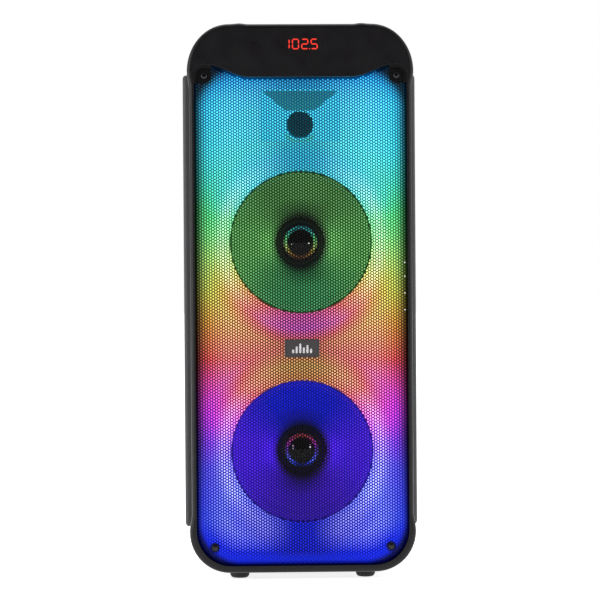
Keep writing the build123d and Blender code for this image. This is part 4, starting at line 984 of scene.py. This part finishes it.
def socket_screw(place, radius, height, steps=48):
    """A button head with a hexagon socket: place turns (across, up, out) into a point."""
    profile = ((radius, 0.0), (radius, 0.25 * height), (0.93 * radius, 0.62 * height),
               (0.72 * radius, 0.90 * height), (0.52 * radius, height))
    points, faces, hexagon = [], [], []
    for k in range(steps):
        angle = TAU * k / steps
        points += [place(*round_point((0, 0), reach, angle), out) for reach, out in profile]
        flat = math.cos(TAU / 12) / math.cos((angle + TAU / 12) % (TAU / 6) - TAU / 12)
        hexagon.append(round_point((0, 0), SOCKET_ACROSS / 2 * flat, angle))
    rows = len(profile)
    for k in range(steps):
        here, there = k * rows, (k + 1) % steps * rows
        faces += [(here + i, there + i, there + i + 1, here + i + 1) for i in range(rows - 1)]
    lip, floor = len(points), len(points) + steps
    points += [place(x, z, height) for x, z in hexagon]
    points += [place(x, z, 0.35 * height) for x, z in hexagon]
    for k in range(steps):
        j = (k + 1) % steps
        faces.append((k * rows + rows - 1, j * rows + rows - 1, lip + j, lip + k))
        faces.append((lip + k, lip + j, floor + j, floor + k))
    faces.append(tuple(floor + k for k in range(steps)))
    return points, faces


def build_screws():
    """The four grille screws, round heads with hexagon sockets, over the CAD's plain ones."""
    height = GRILLE_Y - span("grille_screws")[1]
    places = [on_front(GRILLE_Y, side * x, z) for x, z in SCREWS for side in (-1, 1)]
    parts = [socket_screw(place, SCREW_HEAD, height) for place in places]
    piece = mesh_piece("grille_screw_heads", *gather(parts), "screw_steel", smooth=True)
    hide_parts("grille_screws")


LAMP_HEIGHTS = (0.434, 0.415, 0.392, 0.369)
LAMP_X = 0.1420
LAMP_RADIUS = 0.0009
LAMP_DOME = 0.0006
LAMP_SUNK = 0.0010


def build_side_lamps():
    """Four small lamps in a column, domed lenses set in the right edge of the grille."""
    lens = ((1.0, 0.0), (0.85, 0.55), (0.5, 0.9), (0.05, 1.0))
    profile = [(reach * LAMP_RADIUS, rise * LAMP_DOME) for reach, rise in lens]
    profile = [(LAMP_RADIUS, -LAMP_SUNK), *profile, (0.05 * LAMP_RADIUS, -LAMP_SUNK)]
    front = GRILLE_Y + float(roll_depth(GRILLE_HALF - LAMP_X))
    lenses = [lathe(profile, (LAMP_X, front, z), (0, -1, 0), (1, 0, 0), 20) for z in LAMP_HEIGHTS]
    mesh_piece("side_lamps", *gather(lenses), "lamp_white", smooth=True)


KNOBS = (("volume_knob", "volume_control", 0.022), ("mic_level_knob", "mic_control", 0.011),
         ("echo_level_knob", "echo_control", 0.011))
CAP_SHARE = 0.74
POINTER_WIDE = 0.0010
PRINT_DEPTH = 0.00015


def build_knob_caps():
    """A spun metal cap set in the top of each knob, with a rounded shoulder and a pale pointer line."""
    for node, body, radius in KNOBS:
        box = span(node)
        top = box[5]
        centre = (middle_of(box, 0), middle_of(box, 1), top)
        reach = CAP_SHARE * radius
        profile = [(reach, -0.0002), (reach, 0.0002), (reach - 0.0004, 0.0005),
                   (reach - 0.0010, 0.0005), (reach - 0.0016, 0.00025), (0.0006, 0.0001), (0.0006, -0.0002)]
        points, faces = lathe(profile, centre, (0, 0, 1), (1, 0, 0))
        mesh_piece(f"{node}_cap", points, faces, "sink_aluminium", body, smooth=True)
        line = rounded_bar(centre[0], centre[1] - 0.60 * reach, POINTER_WIDE, 0.50 * reach, 0.0004)
        pointer = plate(line, on_top(top + 0.0001), 0.0005, 0.0001)
        mesh_piece(f"{node}_pointer", *pointer, "print_grey", body)


DECK_SHEET = 0.0025
DECK_FLOOR = span("control_deck")[2] + DECK_SHEET
BUTTONS = 6
# A knob's scale: how many ticks, the first one's angle and the step; every fifth is long
TICKS = 11
FIRST_TICK = math.radians(-240)
TICK_STEP = math.radians(30)
TICK_LONG, TICK_SHORT = 0.0026, 0.0016
TICK_HALF_WIDE = 0.00025


def arc_band(centre, radius, thick, start, sweep, place, steps=24):
    """A flat printed arc."""
    points, faces = [], []
    for k in range(steps + 1):
        angle = start + sweep * k / steps
        for reach in (radius - thick / 2, radius + thick / 2):
            points.append(place(*round_point(centre, reach, angle), PRINT_DEPTH))
    for k in range(steps):
        faces.append((2 * k, 2 * k + 1, 2 * k + 3, 2 * k + 2))
    return points, faces


def build_deck_prints():
    """Level scales round the knobs and a plain mark on each button."""
    parts = []
    place = on_top(DECK_FLOOR)
    for node, _, radius in KNOBS:
        box = span(node)
        centre = Vector((middle_of(box, 0), middle_of(box, 1)))
        for k in range(TICKS):
            angle = FIRST_TICK + TICK_STEP * k
            out = Vector(round_point((0, 0), 1, angle))
            side = Vector((-out.y, out.x)) * TICK_HALF_WIDE
            inner = centre + 1.10 * radius * out
            outer = inner + (TICK_SHORT if k % 5 else TICK_LONG) * out
            tick = [inner - side, outer - side, outer + side, inner + side]
            parts.append(plate(tick, place, PRINT_DEPTH, 0.00002))
    mesh_piece("deck_scales", *gather(parts), "print_grey")
    for k in range(1, BUTTONS + 1):
        box = span(f"button_{k}")
        mark = button_mark(k, middle_of(box, 0), middle_of(box, 1), on_top(box[5] - 0.00005))
        mesh_piece(f"button_{k}_mark", *gather(mark), "print_grey", f"button_{k}_key")


def button_mark(k, x, y, place):
    """A generic mark for each button: power, light, back, play, next and link."""
    wedge = [(x - 0.0012, y - 0.0016), (x + 0.0016, y), (x - 0.0012, y + 0.0016)]
    flip = [(2 * x - a, b) for a, b in reversed(wedge)]

    def stamp(outline):
        return plate(outline, place, PRINT_DEPTH, 0.00003)

    def stop_bar(shift):
        return stamp(rounded_bar(x + shift, y, 0.0006, 0.0032, 0.00025))

    if k == 1:
        ring = arc_band((x, y), 0.0016, 0.0005, math.radians(125), math.radians(290), place)
        return [ring, stamp(rounded_bar(x, y + 0.0010, 0.0005, 0.0018, 0.0002))]
    if k == 2:
        rays = [arc_band((x, y), 0.0019, 0.0006, TAU * n / 8 - 0.12, 0.24, place, 3) for n in range(8)]
        return [stamp(rounded_bar(x, y, 0.0020, 0.0020, 0.0009)), *rays]
    if k == 3:
        return [stamp(flip), stop_bar(-0.0019)]
    if k == 4:
        return [stamp(wedge)]
    if k == 5:
        return [stamp(wedge), stop_bar(0.0021)]
    return [arc_band((x + shift, y), 0.0012, 0.0005, 0, TAU, place) for shift in (-0.0010, 0.0010)]


# ---- finishes

# Each finish: the function that makes it, and what it is given after the name
FINISHES = {
    "bezel_plastic": (moulded, (0.0040, 0.0032, 0.0042), 0.30, 900.0, 0.00006, 0.0, 0.27),
    "cabinet_plastic": (moulded, (0.014, 0.014, 0.015), 0.48, 700.0, 0.0001),
    "side_panel_plastic": (grained, (0.052, 0.050, 0.054), 0.55),
    "grille_steel": (lit_grille, (0.003, 0.003, 0.0034), 0.50, 0.07),
    "screw_steel": (metal, (0.036, 0.036, 0.038), 0.16),
    "badge_metal": (metal, (0.085, 0.078, 0.080), 0.40, (1, 1, 12)),
    "smoked_window": (moulded, (0.0040, 0.0030, 0.0038), 0.28, 900.0, 0.00004, 0.0, 0.30),
    "circuit_board": (circuit,),
    "milky_diffuser": (light_panel,),
    "led_strip": (lit, (0.75, 0.85, 1.0), 1.5),
    "baffle_board": (moulded, (0.020, 0.018, 0.016), 0.7, 500.0, 0.0002),
    "ferrite": (moulded, (0.035, 0.034, 0.036), 0.6, 1100.0, 0.0001),
    "plated_steel": (metal, (0.52, 0.52, 0.50), 0.30),
    "horn_plastic": (horn_painted_light, (0.07, 0.72, 1.0)),
    # the dome's glow is painted light from the panel
    "dome_cloth": (cloth, (0.004, 0.040, 0.050), 9000.0, (0.001, 0.050, 0.068)),
    "jack_panel_metal": (powder_coat, (0.022, 0.022, 0.024), 0.42),
    "socket_plastic": (moulded, (0.008, 0.008, 0.008), 0.35),
    "rocker_plastic": (moulded, (0.016, 0.014, 0.014), 0.28),
    "deck_plastic": (moulded, (0.012, 0.012, 0.013), 0.30, 900.0, 0.00004, 0.3),
    "jack_chrome": (metal, (0.72, 0.72, 0.73), 0.16),
    "sink_aluminium": (metal, (0.42, 0.42, 0.44), 0.30, (1, 14, 1)),
    "battery_wrap": (moulded, (0.02, 0.05, 0.13), 0.30, 300.0, 0.00005, 0.4),
    "strap_steel": (metal, (0.45, 0.45, 0.44), 0.36, (1, 1, 10)),
    "foot_rubber": (moulded, (0.012, 0.012, 0.012), 0.78, 600.0, 0.0002),
    "knob_plastic": (moulded, (0.011, 0.011, 0.012), 0.36),
    "basket_steel": (powder_coat, (0.012, 0.012, 0.013), 0.40),
    "spider_cloth": (cloth, (0.42, 0.30, 0.14), 6000.0),
    "coil_copper": (metal, (0.75, 0.33, 0.16), 0.28, (1, 30, 1)),
    "button_rubber": (moulded, (0.020, 0.020, 0.022), 0.55, 800.0, 0.0001),
    "display_red": (lit, (1.0, 0.035, 0.015), 1.25),
    "emblem_white": (moulded, (0.62, 0.60, 0.62), 0.35, 700.0, 0.00003, 0.2),
    "print_grey": (moulded, (0.48, 0.48, 0.50), 0.55, 900.0, 0.00002),
    "lamp_white": (lit, (1.0, 0.97, 0.92), 1.0),
}
materials = {name: make(name, *values) for name, (make, *values) in FINISHES.items()}
for woofer, centre in WOOFERS.items():
    materials[f"{woofer}_cone"] = cone_painted_light(f"{woofer}_cone_polymer", woofer, 0.25)
    materials[f"{woofer}_surround"] = cone_painted_light(f"{woofer}_surround_rubber", woofer, 0.5)
    materials[f"{woofer}_dust_cap"] = cap_painted_reflection(f"{woofer}_cap_gloss", centre, *CAP_MIRRORS[woofer])

# a node's own finish, or the one of the material that its CAD piece names
for node, thing in NODES.items():
    for own in thing.material_slots:
        own.material = materials.get(node) or materials[own.material.name.split(".")[0]]

# ---- the pieces

build_grille()
build_flexing_rings()
build_display()
build_badge()
build_screws()
build_side_lamps()
build_knob_caps()
build_deck_prints()

# ---- the floor, lights and camera

FLOOR_REACH = 30.0
FLOOR_GLOW = 0.82


def build_floor():
    """A wide white floor, bright enough to meet the backdrop without a line."""
    m = Nodes("studio_floor")
    tone = m.mix(m.noise(3.0), (0.90, 0.90, 0.90), (0.96, 0.96, 0.96))
    finish = m.principled(
        Base_Color=tone, Roughness=0.8, Specular_IOR_Level=0.1,
        Emission_Color=WHITE, Emission_Strength=FLOOR_GLOW,
    )
    corners = [(FLOOR_REACH * x, FLOOR_REACH * y, 0) for x, y in ((-1, -1), (1, -1), (1, 1), (-1, 1))]
    mesh = bpy.data.meshes.new("studio_floor")
    mesh.from_pydata(corners, [], [(0, 1, 2, 3)])
    mesh.materials.append(finish)
    floor = add_object("studio_floor", mesh)


# The studio's brightness from straight in front (0) to straight behind (1)
STUDIO_LEVELS = ((0.0, 0.0), (0.05, 0.02), (0.14, 0.40), (0.30, 0.62), (0.60, 0.80), (1.0, 0.80))


def build_world():
    """White as the camera sees it, and a softer studio to light the object: dim in front, brighter at the
    sides and behind."""
    m = Nodes("studio", "worlds", "ShaderNodeOutputWorld")
    bpy.context.scene.world = m.owner
    # -1 straight in front and 1 straight behind become 0 and 1
    behind = m.math("MULTIPLY_ADD", m.axes("Generated")[1], 0.5, 0.5)
    levels = m.add("ShaderNodeFloatCurve", {"Value": behind})
    curve = levels.mapping.curves[0]
    for stop in STUDIO_LEVELS[1:-1]:
        curve.points.new(*stop)
    for point, stop in zip(curve.points, STUDIO_LEVELS):
        point.location = stop
        point.handle_type = "VECTOR"
    levels.mapping.update()
    soft = m.add("ShaderNodeBackground", {"Color": WHITE, "Strength": levels.outputs[0]})
    plain = m.add("ShaderNodeBackground", {"Color": WHITE})
    seen = m.add("ShaderNodeLightPath").outputs["Is Camera Ray"]
    pick = m.add("ShaderNodeMixShader", {0: seen, 1: soft.outputs[0], 2: plain.outputs[0]})
    m.feed(m.out.inputs["Surface"], pick.outputs[0])


def area_light(name, place, size, power):
    """A soft rectangular light at place, looking at the object's middle."""
    light = bpy.data.lights.new(name, "AREA")
    light.shape = "RECTANGLE"
    light.size, light.size_y = size
    light.energy = power
    thing = add_object(name, light)
    thing.location = place
    look = Vector((0, 0, MIDDLE_HIGH)) - Vector(place)
    thing.rotation_euler = look.to_track_quat("-Z", "Y").to_euler()


CAMERA_AWAY = 3.6
CAMERA_HIGH = 0.41
CAMERA_TURN = math.radians(-2.0)
CAMERA_ROLL = math.radians(-0.38)
CAMERA_AIM_X = -0.0025
CAMERA_AIM_ABOVE = 0.0018
LENS_MM = 157.6
SENSOR_MM = 36.0


def build_camera():
    """A long lens a little left of centre, at about half the object's height."""
    aim = Vector((CAMERA_AIM_X, cad_box[0].y, MIDDLE_HIGH + CAMERA_AIM_ABOVE))
    data = bpy.data.cameras.new("camera")
    data.lens = LENS_MM
    data.sensor_width = SENSOR_MM
    camera = add_object("camera", data)
    aside, back = CAMERA_AWAY * math.sin(CAMERA_TURN), CAMERA_AWAY * math.cos(CAMERA_TURN)
    camera.location = (aim.x + aside, aim.y - back, CAMERA_HIGH)
    look = (aim - camera.location).to_track_quat("-Z", "Y")
    camera.rotation_mode = "QUATERNION"
    camera.rotation_quaternion = look @ Quaternion((0, 0, 1), CAMERA_ROLL)
    bpy.context.scene.camera = camera


build_floor()
build_world()
area_light("left_softbox", (-2.4, -1.0, 0.7), (2.0, 2.4), 32.0)
area_light("right_softbox", (2.4, -0.9, 0.7), (1.8, 2.4), 14.0)
area_light("top_softbox", (0, 0.4, 2.6), (1.6, 1.2), 14.0)
build_camera()
bpy.context.scene.view_settings.view_transform = "Standard"
